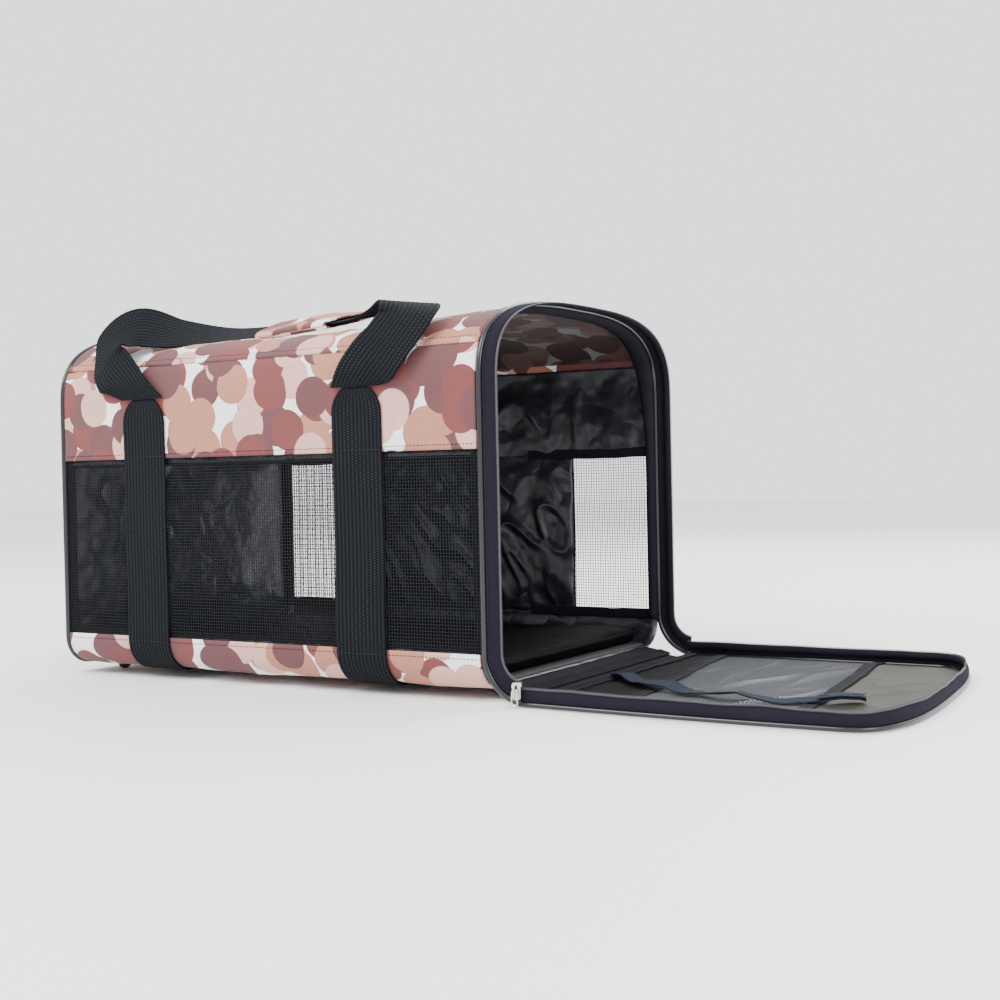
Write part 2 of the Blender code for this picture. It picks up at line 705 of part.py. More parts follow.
def make_feet(build):
    """Domed studs under the four corners."""
    height = UNDERSIDE_Z - GAP
    for end_name, x in (("back", BACK_X + 0.026), ("front", FRONT_X - 0.012)):
        for side_name, y in (("near", -FOOT_SPREAD), ("far", FOOT_SPREAD)):
            work = bmesh.new()
            bmesh.ops.create_cone(
                work,
                cap_ends=True,
                segments=20,
                radius1=FOOT_RADIUS * 0.75,
                radius2=FOOT_RADIUS,
                depth=height,
            )
            mesh = bpy.data.meshes.new(f"foot_{end_name}_{side_name}")
            work.to_mesh(mesh)
            work.free()
            obj = build.add(mesh.name, mesh, "foot_plastic")
            obj.location = (x, y, height / 2)
            bevel = obj.modifiers.new("dome", "BEVEL")
            bevel.width = 0.0012
            bevel.segments = 2


SLIDER_X = HINGE_X - 0.0010
SLIDER_LOW_Z = 0.0060
SLIDER_HIGH_Z = 0.0185
SLIDER_HALF_WIDTH = 0.0038
SLIDER_PLATE = 0.0022
SLIDER_Y = -(HALF_WIDTH + PIPING_RADIUS)
BOW_WIRE = 0.0007
BOW_HALF_LENGTH = 0.0040
BOW_RISE = 0.0030
BOW_Z = 0.0130
PULL_WIRE = 0.0006
PULL_PIN_Z = 0.0140
PULL_PIN_Y = SLIDER_Y - SLIDER_PLATE - 0.0019
PULL_END_Z = 0.0020
PULL_HALF_WIDTH = 0.0026


def make_slider(build):
    """The zip's slider: a body outside the coil and a bow that holds the pull."""
    face_y = SLIDER_Y - SLIDER_PLATE
    low = (SLIDER_X - SLIDER_HALF_WIDTH, face_y, SLIDER_LOW_Z)
    high = (SLIDER_X + SLIDER_HALF_WIDTH, SLIDER_Y, SLIDER_HIGH_Z)
    build.block("zip_slider", low, high, "nickel", 0.0009, "slider_axis")
    bow = []
    for step in range(9):
        turn = math.pi * step / 8
        rise = BOW_WIRE + GAP + math.sin(turn) * BOW_RISE
        bow.append((SLIDER_X, face_y - rise, BOW_Z + math.cos(turn) * BOW_HALF_LENGTH))
    build.tube("slider_bow", bow, BOW_WIRE, "nickel", "slider_axis")


def make_pull(build):
    """The pull: a wire loop whose top side passes under the bow."""
    corners = (
        (-PULL_HALF_WIDTH, PULL_PIN_Z),
        (PULL_HALF_WIDTH, PULL_PIN_Z),
        (PULL_HALF_WIDTH, PULL_END_Z),
        (-PULL_HALF_WIDTH, PULL_END_Z),
    )
    loop = [(SLIDER_X + across, PULL_PIN_Y, z) for across, z in corners]
    build.tube("pull_tab", loop, PULL_WIRE, "nickel", "pull_axis", cyclic=True)


# ---------------------------------------------------------------- the whole carrier
def make_carrier():
    clear_scene()
    build = Builder(make_collection(COLLECTION))
    build.axis("door_axis", (HINGE_X, 0, 0))
    build.axis("near_handle_axis", (MIDDLE_X, -HANDLE_HINGE_Y, HANDLE_HINGE_Z))
    build.axis("far_handle_axis", (MIDDLE_X, HANDLE_HINGE_Y, HANDLE_HINGE_Z))
    build.axis("mat_axis", (MAT_BACK_X, 0, MAT_Z))
    build.axis("slider_axis", (SLIDER_X, SLIDER_Y, SLIDER_LOW_Z))
    build.axis("pull_axis", (SLIDER_X, PULL_PIN_Y, PULL_PIN_Z))
    make_side(build, "near", -1)
    make_side(build, "far", 1)
    make_windows(build)
    make_top_and_bottom(build)
    make_back(build)
    make_hoop(build, "back_hoop", BACK_X + 0.0060)
    make_hoop(build, "front_hoop", FRONT_X - 0.0060)
    make_mouth(build)
    make_sill(build)
    make_door_panels(build)
    make_door_bindings(build)
    make_door_rim(build)
    make_door_tie(build)
    make_body_strap(build, "back_body_strap", BACK_STRAP_X)
    make_body_strap(build, "front_body_strap", FRONT_STRAP_X)
    make_handle(build, "near_handle", NEAR_ROUTE, -1, "near_handle_axis")
    make_handle(build, "far_handle", FAR_ROUTE, 1, "far_handle_axis")
    make_wrap(build)
    make_mat(build)
    make_feet(build)
    make_slider(build)
    make_pull(build)


make_carrier()
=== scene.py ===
"""Looks of a soft-sided pet carrier: printed panels, mesh windows, webbing, zip, door and mat.

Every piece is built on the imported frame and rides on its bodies. Lengths are in metres, +Z is up,
+X runs towards the door and -Y is the near side."""

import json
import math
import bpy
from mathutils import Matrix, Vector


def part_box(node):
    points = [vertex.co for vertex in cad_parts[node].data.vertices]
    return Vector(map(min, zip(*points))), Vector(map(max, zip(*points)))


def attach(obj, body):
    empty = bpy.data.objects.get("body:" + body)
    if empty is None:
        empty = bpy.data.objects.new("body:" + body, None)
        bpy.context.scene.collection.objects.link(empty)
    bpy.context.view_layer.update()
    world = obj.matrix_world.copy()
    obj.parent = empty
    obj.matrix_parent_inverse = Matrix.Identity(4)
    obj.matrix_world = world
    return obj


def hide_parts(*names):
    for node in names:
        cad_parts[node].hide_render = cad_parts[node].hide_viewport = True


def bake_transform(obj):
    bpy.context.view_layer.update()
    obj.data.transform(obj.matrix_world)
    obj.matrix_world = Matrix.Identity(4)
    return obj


bl_info = {
    "name": "Soft Pet Carrier",
    "version": (1, 0, 0),
    "blender": (4, 5, 0),
    "location": "View3D > Sidebar > Carrier",
    "description": "Dresses the frame of a soft-sided pet carrier with its fabrics, mesh, webbing and zip",
    "category": "Add Mesh",
}

import bmesh
import bpy
import numpy as np
from bpy.props import FloatProperty, FloatVectorProperty, IntProperty, PointerProperty
from mathutils import Matrix, Vector, noise

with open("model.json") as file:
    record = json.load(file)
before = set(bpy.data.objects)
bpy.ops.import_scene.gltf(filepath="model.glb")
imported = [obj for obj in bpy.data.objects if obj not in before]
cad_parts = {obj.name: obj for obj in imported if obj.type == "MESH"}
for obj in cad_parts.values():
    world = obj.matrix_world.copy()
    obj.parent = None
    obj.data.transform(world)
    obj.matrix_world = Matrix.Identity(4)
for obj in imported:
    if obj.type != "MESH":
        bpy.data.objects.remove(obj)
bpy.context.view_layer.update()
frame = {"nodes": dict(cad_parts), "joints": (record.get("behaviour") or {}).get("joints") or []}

# ---------------------------------------------------------------- places read from the frame
PIPING_RADIUS = 0.0026
PIPING_INSET = 0.0010
GAP = 0.0003
FRONT_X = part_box("front_piping")[0][0] + PIPING_RADIUS
BACK_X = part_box("back_piping")[0][0] + PIPING_RADIUS
HALF_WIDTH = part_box("front_piping")[1][1] - PIPING_RADIUS + PIPING_INSET
CREST_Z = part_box("front_piping")[1][2] - PIPING_RADIUS + PIPING_INSET
UNDERSIDE_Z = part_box("bottom_panel")[0][2]
BAND_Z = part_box("near_upper_band")[0][2] - GAP
SEAM_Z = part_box("near_upper_band")[1][2] + GAP
WINDOW_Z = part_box("near_mesh_window")[0][2]
PANEL_START_X, PANEL_END_X = (corner[0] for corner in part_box("near_mesh_window"))
ARCH_START_Z = 0.235
ARCH_POWER = 3.0
CORNER_RADIUS = 0.025
TOP_SAG = 0.014
# The distance from the middle at which the side walls sample the random waves.
RIPPLE_Y = 0.155
CLOTH = 0.0014
MIDDLE_X = (BACK_X + FRONT_X) / 2
BACK_STRAP_X = sum(corner[0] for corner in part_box("back_body_strap")) / 2
FRONT_STRAP_X = sum(corner[0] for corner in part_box("front_body_strap")) / 2
WEBBING_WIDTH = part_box("front_body_strap")[1][0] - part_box("front_body_strap")[0][0]
WEBBING = 0.0018
HINGE_X = next(joint for joint in frame["joints"] if joint["name"] == "door_hinge")["pos_m"][0]
DOOR_PIPING_RADIUS = 0.0020
DOOR_LENGTH = 0.285
DOOR_SKEW = 0.075
RIM_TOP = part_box("door_gusset")[1][2]
DOOR_Z = DOOR_PIPING_RADIUS + 0.0002
GUSSET_DEPTH = 0.0105
ZIP_TURN_RADIUS = 0.036
UNDER_SEAM_Y = HALF_WIDTH - CORNER_RADIUS - 0.008
WALL_Y = HALF_WIDTH - CLOTH / 2


# ---------------------------------------------------------------- what a user may change
def length_property(name, description, default, least, most):
    return FloatProperty(
        name=name, description=description, default=default, min=least, max=most, unit="LENGTH")


def colour_property(name, description, default):
    return FloatVectorProperty(
        name=name, description=description, subtype="COLOR", size=3, min=0.0, max=1.0, default=default)


class CarrierSizes(bpy.types.PropertyGroup):
    """Sizes of the fabric details."""

    thread_pitch: length_property(
        "Mesh pitch", "From one thread of the windows to the next", 0.0026, 0.0015, 0.01)
    thread_radius: length_property(
        "Mesh thread", "Radius of a thread of the windows", 0.00033, 0.0001, 0.001)
    stitch_pitch: length_property("Stitch pitch", "From one stitch to the next", 0.0034, 0.001, 0.01)
    stitch_radius: length_property(
        "Stitch thread", "Radius of the sewing thread", 0.00034, 0.0001, 0.001)
    tooth_pitch: length_property(
        "Zip pitch", "From one turn of the zip's coil to the next", 0.0015, 0.0008, 0.004)
    webbing_ribs: IntProperty(
        name="Webbing ribs", description="Lengthwise ribs across the webbing", default=13, min=3, max=30)
    rib_height: length_property(
        "Rib height", "How far a rib stands out of the webbing", 0.00014, 0.0, 0.001)
    puff: length_property("Puff", "How far a sewn panel swells between its seams", 0.0014, 0.0, 0.004)
    lining_folds: length_property(
        "Lining folds", "Height of the folds in the loose black lining", 0.0060, 0.0, 0.012)
    door_folds: length_property(
        "Door folds", "Height of the waves in the door lying open", 0.0034, 0.0, 0.008)


class CarrierColours(bpy.types.PropertyGroup):
    """Colours of the cloths, and the size of the print."""

    disc_radius: length_property("Disc radius", "Radius of a printed disc", 0.0165, 0.004, 0.05)
    disc_spacing: length_property(
        "Disc spacing", "Average distance between the discs of one printed layer", 0.055, 0.035, 0.12)
    ground: colour_property("Ground", "Cloth between the discs", (0.92, 0.90, 0.90))
    pale_disc: colour_property("Pale disc", "Palest printed disc", (0.62, 0.36, 0.30))
    tan_disc: colour_property("Tan disc", "Tan printed disc", (0.40, 0.165, 0.105))
    brick_disc: colour_property("Brick disc", "Brick printed disc", (0.135, 0.020, 0.019))
    plum_disc: colour_property("Plum disc", "Plum printed disc", (0.088, 0.020, 0.026))
    # The webbing is dark between its ribs and much lighter on their tops: painted shade in the grooves and a
    # painted highlight on the crests.
    webbing_dark: colour_property("Webbing", "Webbing between its ribs", (0.0025, 0.0030, 0.0042))
    webbing_rib_highlight: colour_property("Webbing ribs", "Top of the webbing's ribs", (0.026, 0.030, 0.037))
    nylon: colour_property("Lining", "Loose black lining", (0.0060, 0.0068, 0.0095))
    mesh: colour_property("Mesh", "Threads of the windows", (0.0080, 0.0088, 0.0105))
    # The door's threads are far lighter than the side mesh: painted light from the pale floor seen through
    # the door's window.
    door_mesh: colour_property("Door mesh", "Threads of the door's window", (0.055, 0.058, 0.062))
    door_cloth: colour_property("Door cloth", "Cloth beside the hinge", (0.0050, 0.0050, 0.0052))
    gusset: colour_property("Gusset", "Cloth beside the zip", (0.0085, 0.0068, 0.0120))
    taupe: colour_property("Taupe", "Coated inside of the door", (0.048, 0.045, 0.037))
    mat: colour_property("Mat", "Cloth of the floor mat", (0.0009, 0.0010, 0.0015))
    tape: colour_property("Tape", "Binding tape", (0.0045, 0.0050, 0.0070))
    stitch: colour_property("Stitches", "Thread of the printed panels' seams", (0.020, 0.006, 0.013))


# ---------------------------------------------------------------- shader arithmetic
def joined(operation, swapped=False):
    """A method that adds one Math node on the value and, if there is one, another operand."""

    def method(self, other=0.0):
        return self.finish.math(operation, *((other, self) if swapped else (self, other)))

    return method


class Value:
    """A shader output that takes part in ordinary arithmetic: each step adds a Math node."""

    def __init__(self, finish, socket):
        self.finish = finish
        self.socket = socket

    __add__ = __radd__ = joined("ADD")
    __sub__ = joined("SUBTRACT")
    __rsub__ = joined("SUBTRACT", swapped=True)
    __mul__ = __rmul__ = joined("MULTIPLY")
    __truediv__ = joined("DIVIDE")
    __lt__ = joined("LESS_THAN")
    __gt__ = joined("GREATER_THAN")
    wave = joined("SINE")
    fraction = joined("FRACT")
    whole = joined("FLOOR")
    size = joined("ABSOLUTE")


class Finish:
    """One material: a Principled shader and the nodes that feed it."""

    def __init__(self, name, **constants):
        self.material = bpy.data.materials.new(name)
        self.material.use_nodes = True
        self.tree = self.material.node_tree
        self.shader = self.tree.nodes["Principled BSDF"]
        for socket, value in constants.items():
            self.feed(self.shader.inputs[socket.replace("_", " ")], value)

    def feed(self, socket, value):
        if isinstance(value, Value):
            self.tree.links.new(value.socket, socket)
        elif hasattr(value, "__len__") and len(socket.default_value) == 4 and len(value) == 3:
            socket.default_value = (*value, 1.0)
        else:
            socket.default_value = value

    def node(self, kind, settings=None, sockets=None, output=0):
        """Adds one node and gives one of its outputs."""
        node = self.tree.nodes.new(kind)
        for name, value in (settings or {}).items():
            setattr(node, name, value)
        for name, value in (sockets or {}).items():
            self.feed(node.inputs[name], value)
        return Value(self, node.outputs[output])

    def math(self, operation, first, second=0.0):
        return self.node("ShaderNodeMath", {"operation": operation}, {0: first, 1: second})

    def mix(self, share, first, second, blend="MIX"):
        settings = {"data_type": "RGBA", "blend_type": blend}
        return self.node("ShaderNodeMix", settings, {0: share, 6: first, 7: second}, 2)

    def steps(self, value, stops):
        """Flat colours that change at each stop of (place, colour)."""
        found = self.node("ShaderNodeValToRGB", None, {"Fac": value}, "Color")
        ramp = found.socket.node.color_ramp
        ramp.interpolation = "CONSTANT"
        while len(ramp.elements) < len(stops):
            ramp.elements.new(1.0)
        for element, (place, colour) in zip(ramp.elements, stops):
            element.position = place
            element.color = (*colour, 1.0)
        return found

    def metres(self):
        """The position on the cloth, in metres: along it, then across it."""
        return self.node("ShaderNodeUVMap", {"uv_map": "metres"})

    def along_and_across(self):
        place = self.metres()
        along = self.node("ShaderNodeSeparateXYZ", None, {"Vector": place}, "X")
        across = Value(self, along.socket.node.outputs["Y"])
        return along, across

    def position(self):
        return self.node("ShaderNodeTexCoord", None, None, "Object")

    def grain(self, place, scale, detail):
        sockets = {"Vector": place, "Scale": scale, "Detail": detail}
        return self.node("ShaderNodeTexNoise", None, sockets, "Fac")

    def colour(self, value):
        self.feed(self.shader.inputs["Base Color"], value)

    def roughness(self, value):
        self.feed(self.shader.inputs["Roughness"], value)

    def relief(self, height, distance, strength=1.0):
        sockets = {"Height": height, "Distance": distance, "Strength": strength}
        normal = self.node("ShaderNodeBump", None, sockets, "Normal")
        self.feed(self.shader.inputs["Normal"], normal)


def lighter(colour, times):
    return tuple(min(1.0, part * times) for part in colour)


def oxford(along, across, pitch):
    """The fine diagonal dots of a plain oxford weave, from 0 to 1."""
    turn = 2 * math.pi / pitch
    first = ((along + across) * turn).wave()
    second = ((along - across) * turn).wave()
    return first * second * 0.5 + 0.5


def printed_finish(look, name, offset, inside=1.0):
    """Overlapping printed discs in random order: each layer of discs covers the ones below."""
    finish = Finish(name, Sheen_Weight=0.08, Specular_IOR_Level=0.35)
    place = finish.metres()
    colour = finish.mix(0.0, look.ground, look.ground)
    share = look.disc_radius / look.disc_spacing
    palette = [
        (0.0, look.brick_disc), (0.30, look.tan_disc), (0.58, look.plum_disc), (0.78, look.pale_disc),
    ]
    for layer in range(7):
        turned = finish.node(
            "ShaderNodeMapping", None,
            {"Vector": place, "Rotation": (0.0, 0.0, 0.7 + 1.3 * layer),
             "Location": (offset + 0.31 * layer, 0.17 * layer, 0.0)})
        sockets = {"Vector": turned, "Scale": 1 / look.disc_spacing, "Randomness": 0.42}
        distance = finish.node(
            "ShaderNodeTexVoronoi", {"voronoi_dimensions": "2D"}, sockets, "Distance")
        cell = Value(finish, distance.socket.node.outputs["Color"])
        pick = finish.node("ShaderNodeSeparateColor", None, {"Color": cell}, 0)
        ink = finish.steps(pick, palette)
        rim = finish.mix((distance > share - 0.010) * 0.28, ink, look.plum_disc)
        colour = finish.mix(distance < share, colour, rim)
    along, across = finish.along_and_across()
    weave = oxford(along, across, 0.0012)
    fade = finish.grain(place, 90.0, 3.0)
    threads = finish.mix(weave * 0.07, colour, (0.62, 0.42, 0.38))
    worn = finish.mix(fade * 0.12, threads, (0.24, 0.10, 0.085))
    # An inside below 1 darkens the whole print: painted shade, used for the copy of the top's print on the
    # ceiling inside the body.
    finish.colour(finish.mix(1.0, worn, (inside, inside, inside), "MULTIPLY"))
    finish.roughness(0.62 + fade * 0.2)
    finish.relief(weave + fade * 0.6, 0.00010)
    return finish.material


def webbing_finish(look, ribs):
    """Ribbed webbing: columns of short raised picks, each column set off from the next by half."""
    finish = Finish("webbing", Specular_IOR_Level=0.08)
    along, across = finish.along_and_across()
    column = across / (WEBBING_WIDTH / ribs)
    row = along / 0.0021 + column.whole() * 0.5
    ridge = ((column.fraction() - 0.5) * math.pi).wave()
    crest = 1 - ridge * ridge
    pick = (row * math.pi).wave().size()
    worn = finish.grain(finish.metres(), 160.0, 3.0)
    broad = finish.grain(finish.metres(), 28.0, 2.0)
    height = crest * (0.12 + pick * pick * 0.88)
    # Colour by rib height: painted shade between the ribs and a painted highlight on their tops, with its
    # strength varied by wear noise.
    finish.colour(finish.mix(height * (0.25 + worn * 0.45 + broad * 0.45), look.webbing_dark,
                             look.webbing_rib_highlight))
    finish.roughness(0.66 + worn * 0.22)
    finish.relief(height, 0.00060)
    return finish.material


def tape_finish(name, colour, light=2.4):
    """Grosgrain tape: fine ribs across its length."""
    finish = Finish(name, Specular_IOR_Level=0.08)
    along, _ = finish.along_and_across()
    rib = (along * (math.pi / 0.0008)).wave().size()
    worn = finish.grain(finish.metres(), 220.0, 3.0)
    finish.colour(finish.mix(rib * worn, colour, lighter(colour, light)))
    finish.roughness(0.70 + worn * 0.2)
    finish.relief(rib + worn * 0.5, 0.00012)
    return finish.material


def nylon_finish(look):
    """Thin coated nylon that creases and shines."""
    finish = Finish("black_nylon", Specular_IOR_Level=0.6, Coat_Roughness=0.25)
    place = finish.position()
    broad = finish.grain(place, 13.0, 3.0)
    fine = finish.grain(place, 140.0, 3.0)
    crease = (broad - 0.5).size() * 2
    pale = tuple(part * 2.2 + 0.004 for part in look.nylon)
    finish.colour(finish.mix(fine * 0.6, look.nylon, pale))
    finish.roughness(0.24 + fine * 0.16)
    finish.relief(crease * 0.95 + fine * 0.03, 0.0080, 0.9)
    return finish.material


def cloth_finish(name, colour, pitch):
    """Plain woven cloth with a slight unevenness of colour."""
    finish = Finish(name, Specular_IOR_Level=0.08)
    along, across = finish.along_and_across()
    weave = oxford(along, across, pitch)
    uneven = finish.grain(finish.metres(), 45.0, 4.0)
    finish.colour(finish.mix(weave * 0.4 + uneven * 0.35, colour, lighter(colour, 2.0)))
    finish.roughness(0.78 + uneven * 0.12)
    finish.relief(weave + uneven * 0.8, 0.00014)
    return finish.material


def coated_finish(look):
    """The door's coated inside: smooth taupe with soft shading and small scuffs."""
    finish = Finish("coated_lining", Specular_IOR_Level=0.10)
    place = finish.metres()
    cloud = finish.grain(place, 16.0, 5.0)
    fine = finish.grain(place, 700.0, 2.0)
    finish.colour(finish.mix(cloud * 0.75 + fine * 0.15, lighter(look.taupe, 0.62), look.taupe))
    finish.roughness(0.52 + fine * 0.16)
    finish.relief(cloud * 4 + fine * 0.3, 0.0004)
    return finish.material


def mat_finish(look):
    """Brushed polyester of the floor mat; it reads the solid position, since the pad is remeshed."""
    finish = Finish("mat_fabric", Specular_IOR_Level=0.05)
    place = finish.position()
    nap = finish.grain(place, 900.0, 2.0)
    cloud = finish.grain(place, 24.0, 4.0)
    finish.colour(finish.mix(nap * 0.5 + cloud * 0.4, look.mat, lighter(look.mat, 3.0)))
    finish.roughness(0.62 + nap * 0.2)
    finish.relief(nap * 0.3 + cloud * 2, 0.0005)
    return finish.material


def moulded_finish(name, colour, rough, metallic=0.0, scale=400.0, relief=0.00006, light=1.8):
    """Metal, vinyl or plastic with a fine grain and a little wear."""
    finish = Finish(name, Metallic=metallic)
    place = finish.position()
    fine = finish.grain(place, scale, 3.0)
    broad = finish.grain(place, scale / 14, 3.0)
    finish.colour(finish.mix(fine * 0.3 + broad * 0.4, colour, lighter(colour, light)))
    finish.roughness(rough + fine * 0.10 + broad * 0.08)
    finish.relief(fine, relief)
    return finish.material


def thread_finish(name, colour):
    """Twisted sewing thread or the drawn thread of the mesh."""
    finish = Finish(name, Specular_IOR_Level=0.12)
    twist = finish.grain(finish.position(), 1500.0, 1.0)
    patch = finish.grain(finish.position(), 60.0, 3.0)
    finish.colour(finish.mix(twist * 0.5 + patch * 0.5, colour, lighter(colour, 1.8)))
    finish.roughness(0.42 + patch * 0.25)
    return finish.material


def make_finishes(look, sizes):
    """Every material by name."""
    prints = {"near": 0.0, "far": 3.7, "top": 7.3, "low": 11.9, "back": 15.1, "wrap": 19.4}
    found = {f"print_{name}": printed_finish(look, f"printed_{name}", offset)
             for name, offset in prints.items()}
    found.update({
        "webbing": webbing_finish(look, sizes.webbing_ribs),
        "tape": tape_finish("binding_tape", look.tape),
        "tie": tape_finish("tie_tape", (0.012, 0.016, 0.024), 2.0),
        "nylon": nylon_finish(look),
        "mesh": thread_finish("window_mesh", look.mesh),
        # Lighter threads than the sides': painted light from the floor seen through the door's window.
        "door_mesh": thread_finish("door_mesh", look.door_mesh),
        # The top's print at 0.16 of its brightness: painted shade for the ceiling inside the body.
        "print_inside_painted_shade": printed_finish(look, "printed_inside_painted_shade", 7.3, 0.16),
        "door_dark": cloth_finish("door_cloth", look.door_cloth, 0.0011),
        "gusset": cloth_finish("gusset_fabric", look.gusset, 0.0013),
        "zip_tape": cloth_finish("zip_tape", (0.010, 0.010, 0.014), 0.0010),
        "piping": moulded_finish("piping_vinyl", (0.0075, 0.0080, 0.0095), 0.13, light=1.3),
        "taupe": coated_finish(look),
        "mat": mat_finish(look),
        "board": moulded_finish("board", (0.020, 0.020, 0.022), 0.66, scale=250.0),
        "wire": moulded_finish("spring_wire", (0.50, 0.51, 0.53), 0.24, 1.0),
        "nickel": moulded_finish("nickel", (0.66, 0.63, 0.58), 0.16, 1.0, light=1.2),
        "coil": moulded_finish("zip_coil", (0.036, 0.037, 0.044), 0.26, light=1.6),
        "foot": moulded_finish("foot_plastic", (0.008, 0.008, 0.009), 0.40, scale=600.0),
        "stitch": thread_finish("sewing_thread", look.stitch),
        "black_stitch": thread_finish("black_thread", (0.014, 0.014, 0.017)),
    })
    return found


FINISHES = {}
# ---------------------------------------------------------------- outlines
def half_width_at(z):
    """Half of the body's width at a height."""
    share = np.clip((np.asarray(z, float) - ARCH_START_Z) / (CREST_Z - ARCH_START_Z), 0, 1)
    return HALF_WIDTH * (1 - share**ARCH_POWER) ** (1 / ARCH_POWER)


def arch(inset, steps, crest=CREST_Z, turn_from=0.0, turn_to=180.0):
    """(y, z) points over the arch, from the near side to the far side."""
    turn = np.radians(np.linspace(turn_from, turn_to, steps + 1))
    across = -boxed(np.cos(turn), 2 / ARCH_POWER)
    up = np.abs(np.sin(turn)) ** (2 / ARCH_POWER)
    height = ARCH_START_Z + (crest - inset - ARCH_START_Z) * up
    return np.column_stack([(HALF_WIDTH - inset) * across, height])


def lower_corner(inset, side, steps=8):
    """(y, z) points round a lower corner, from the wall to the underside."""
    radius = CORNER_RADIUS - inset
    turn = np.radians(np.linspace(0, 90, steps + 1))
    y = HALF_WIDTH - CORNER_RADIUS + radius * np.cos(turn)
    return np.column_stack([side * y, UNDERSIDE_Z + CORNER_RADIUS - radius * np.sin(turn)])


def body_outline(inset, steps=60):
    """(y, z) points of the whole cross-section, from the near underside round to the far one."""
    return np.vstack([lower_corner(inset, -1)[::-1], arch(inset, steps), lower_corner(inset, 1)])


def unit(vectors):
    return vectors / np.maximum(np.linalg.norm(vectors, axis=-1, keepdims=True), 1e-12)


def spread(*parts):
    """Points from their coordinates, which are arrays that broadcast, or numbers."""
    return np.stack(np.broadcast_arrays(*parts), axis=-1)


def grid_of(first, second):
    return np.meshgrid(first, second, indexing="ij")


def boxed(values, power):
    """A cosine or a sine bent towards a squarer curve, with its sign kept."""
    return np.sign(values) * np.abs(values) ** power


def run_along(path):
    """The distance of each point of a path from its start, along the path."""
    return np.concatenate([[0.0], np.cumsum(np.linalg.norm(np.diff(path, axis=0), axis=1))])


def points_at(wanted, place, source):
    return np.column_stack([np.interp(wanted, place, column) for column in source.T])


def resample(line, count):
    """Evenly spaced points along an open line."""
    line = np.asarray(line, float)
    place = run_along(line)
    return points_at(np.linspace(0, place[-1], count), place, line)


def resample_loop(loop, count):
    """Evenly spaced points round a closed line."""
    return resample(np.vstack([loop, loop[:1]]), count + 1)[:-1]


def smooth_curve(points, count):
    """Evenly spaced points on the smooth curve through a list of points."""
    points = np.asarray(points, float)
    padded = np.vstack([points[:1], points, points[-1:]])
    share = np.linspace(0, 1, 12, endpoint=False)[:, None]
    dense = []
    for a, b, c, d in zip(padded, padded[1:], padded[2:], padded[3:]):
        square = 2 * a - 5 * b + 4 * c - d
        cube = 3 * b - 3 * c + d - a
        dense.append(0.5 * (2 * b + (c - a) * share + square * share**2 + cube * share**3))
    return resample(np.vstack(dense + [points[-1:]]), count)


def mouth_line(forward, inset=PIPING_INSET, arch_steps=90, turn_steps=14):
    """The mouth's edge: down each side, over the arch, and turning forward at the foot."""
    radius = ZIP_TURN_RADIUS - forward
    centre_x = FRONT_X + ZIP_TURN_RADIUS
    centre_z = DOOR_PIPING_RADIUS + ZIP_TURN_RADIUS + GAP
    last = math.asin((HINGE_X - 0.0015 - centre_x) / ZIP_TURN_RADIUS)
    turn = math.pi + np.linspace(0, math.pi / 2 + last, turn_steps + 1)
    x = centre_x + radius * np.cos(turn)
    z = centre_z + radius * np.sin(turn)
    y = HALF_WIDTH - inset
    near = np.column_stack([x, np.full_like(x, -y), z])[::-1]
    far = np.column_stack([x, np.full_like(x, y), z])
    rise = np.linspace(z[0], ARCH_START_Z, 26)[1:-1]
    straight = np.column_stack([np.full_like(rise, FRONT_X + forward), np.full_like(rise, -y), rise])
    over = arch(inset, arch_steps)
    over = np.column_stack([np.full(len(over), FRONT_X + forward), over])
    mirrored = straight[::-1] * (1, -1, 1)
    return np.vstack([near, straight, over, mirrored, far])


def door_askew(y):
    """How much less far the door reaches at y: it lies a little askew."""
    return 1 - DOOR_SKEW * (np.asarray(y) + HALF_WIDTH) / (2 * HALF_WIDTH)


def door_outline(inset, start, steps=90):
    """(x, y) points of the door's edge from the near side of the hinge to the far side."""
    over = arch(inset, steps, DOOR_LENGTH)[:, ::-1]
    over = over * np.column_stack([door_askew(over[:, 1]), np.ones(len(over))])
    reach = np.linspace(start, ARCH_START_Z, 40)[:-1]
    y = HALF_WIDTH - inset
    near = np.column_stack([reach, np.full_like(reach, -y)])
    reach = np.linspace(start, over[-1, 0], 40)[:-1]
    far = np.column_stack([reach, np.full_like(reach, y)])[::-1]
    line = np.vstack([near, over, far])
    line[:, 1] -= 0.006 * hump(line[:, 0] / 0.33) * (line[:, 1] < 0) * np.minimum(1, -line[:, 1] / 0.12)
    return line + (HINGE_X, 0.0)


def seam_reach(near, far, y):
    """Distance from the hinge of one of the door's slanting seams."""
    return near + (far - near) * (y + HALF_WIDTH) / (2 * HALF_WIDTH)


# ---------------------------------------------------------------- cloth surfaces
def ripples(points, size, seed, depth=2):
    """Smooth random waves, from about -1 to 1, at an array of points."""
    flat = np.asarray(points, float).reshape(-1, 3) / size
    found = [
        noise.fractal((x + seed, y + 1.7 * seed, z - seed), 0.7, 2.1, depth) for x, y, z in flat.tolist()
    ]
    return np.array(found).reshape(np.asarray(points).shape[:-1])


def creases(points, size, seed):
    """Sharp folds with flat ground between them, from 0 to 1."""
    flat = np.asarray(points, float).reshape(-1, 3) / size
    found = [noise.noise((x + seed, y - seed, z + 2 * seed)) for x, y, z in flat.tolist()]
    waves = np.array(found).reshape(np.asarray(points).shape[:-1])
    return np.clip(1 - np.abs(waves) * 2.6, 0, 1) ** 1.5


def hump(share):
    """0 at both ends and 1 in the middle."""
    return np.sin(np.pi * np.clip(share, 0, 1))


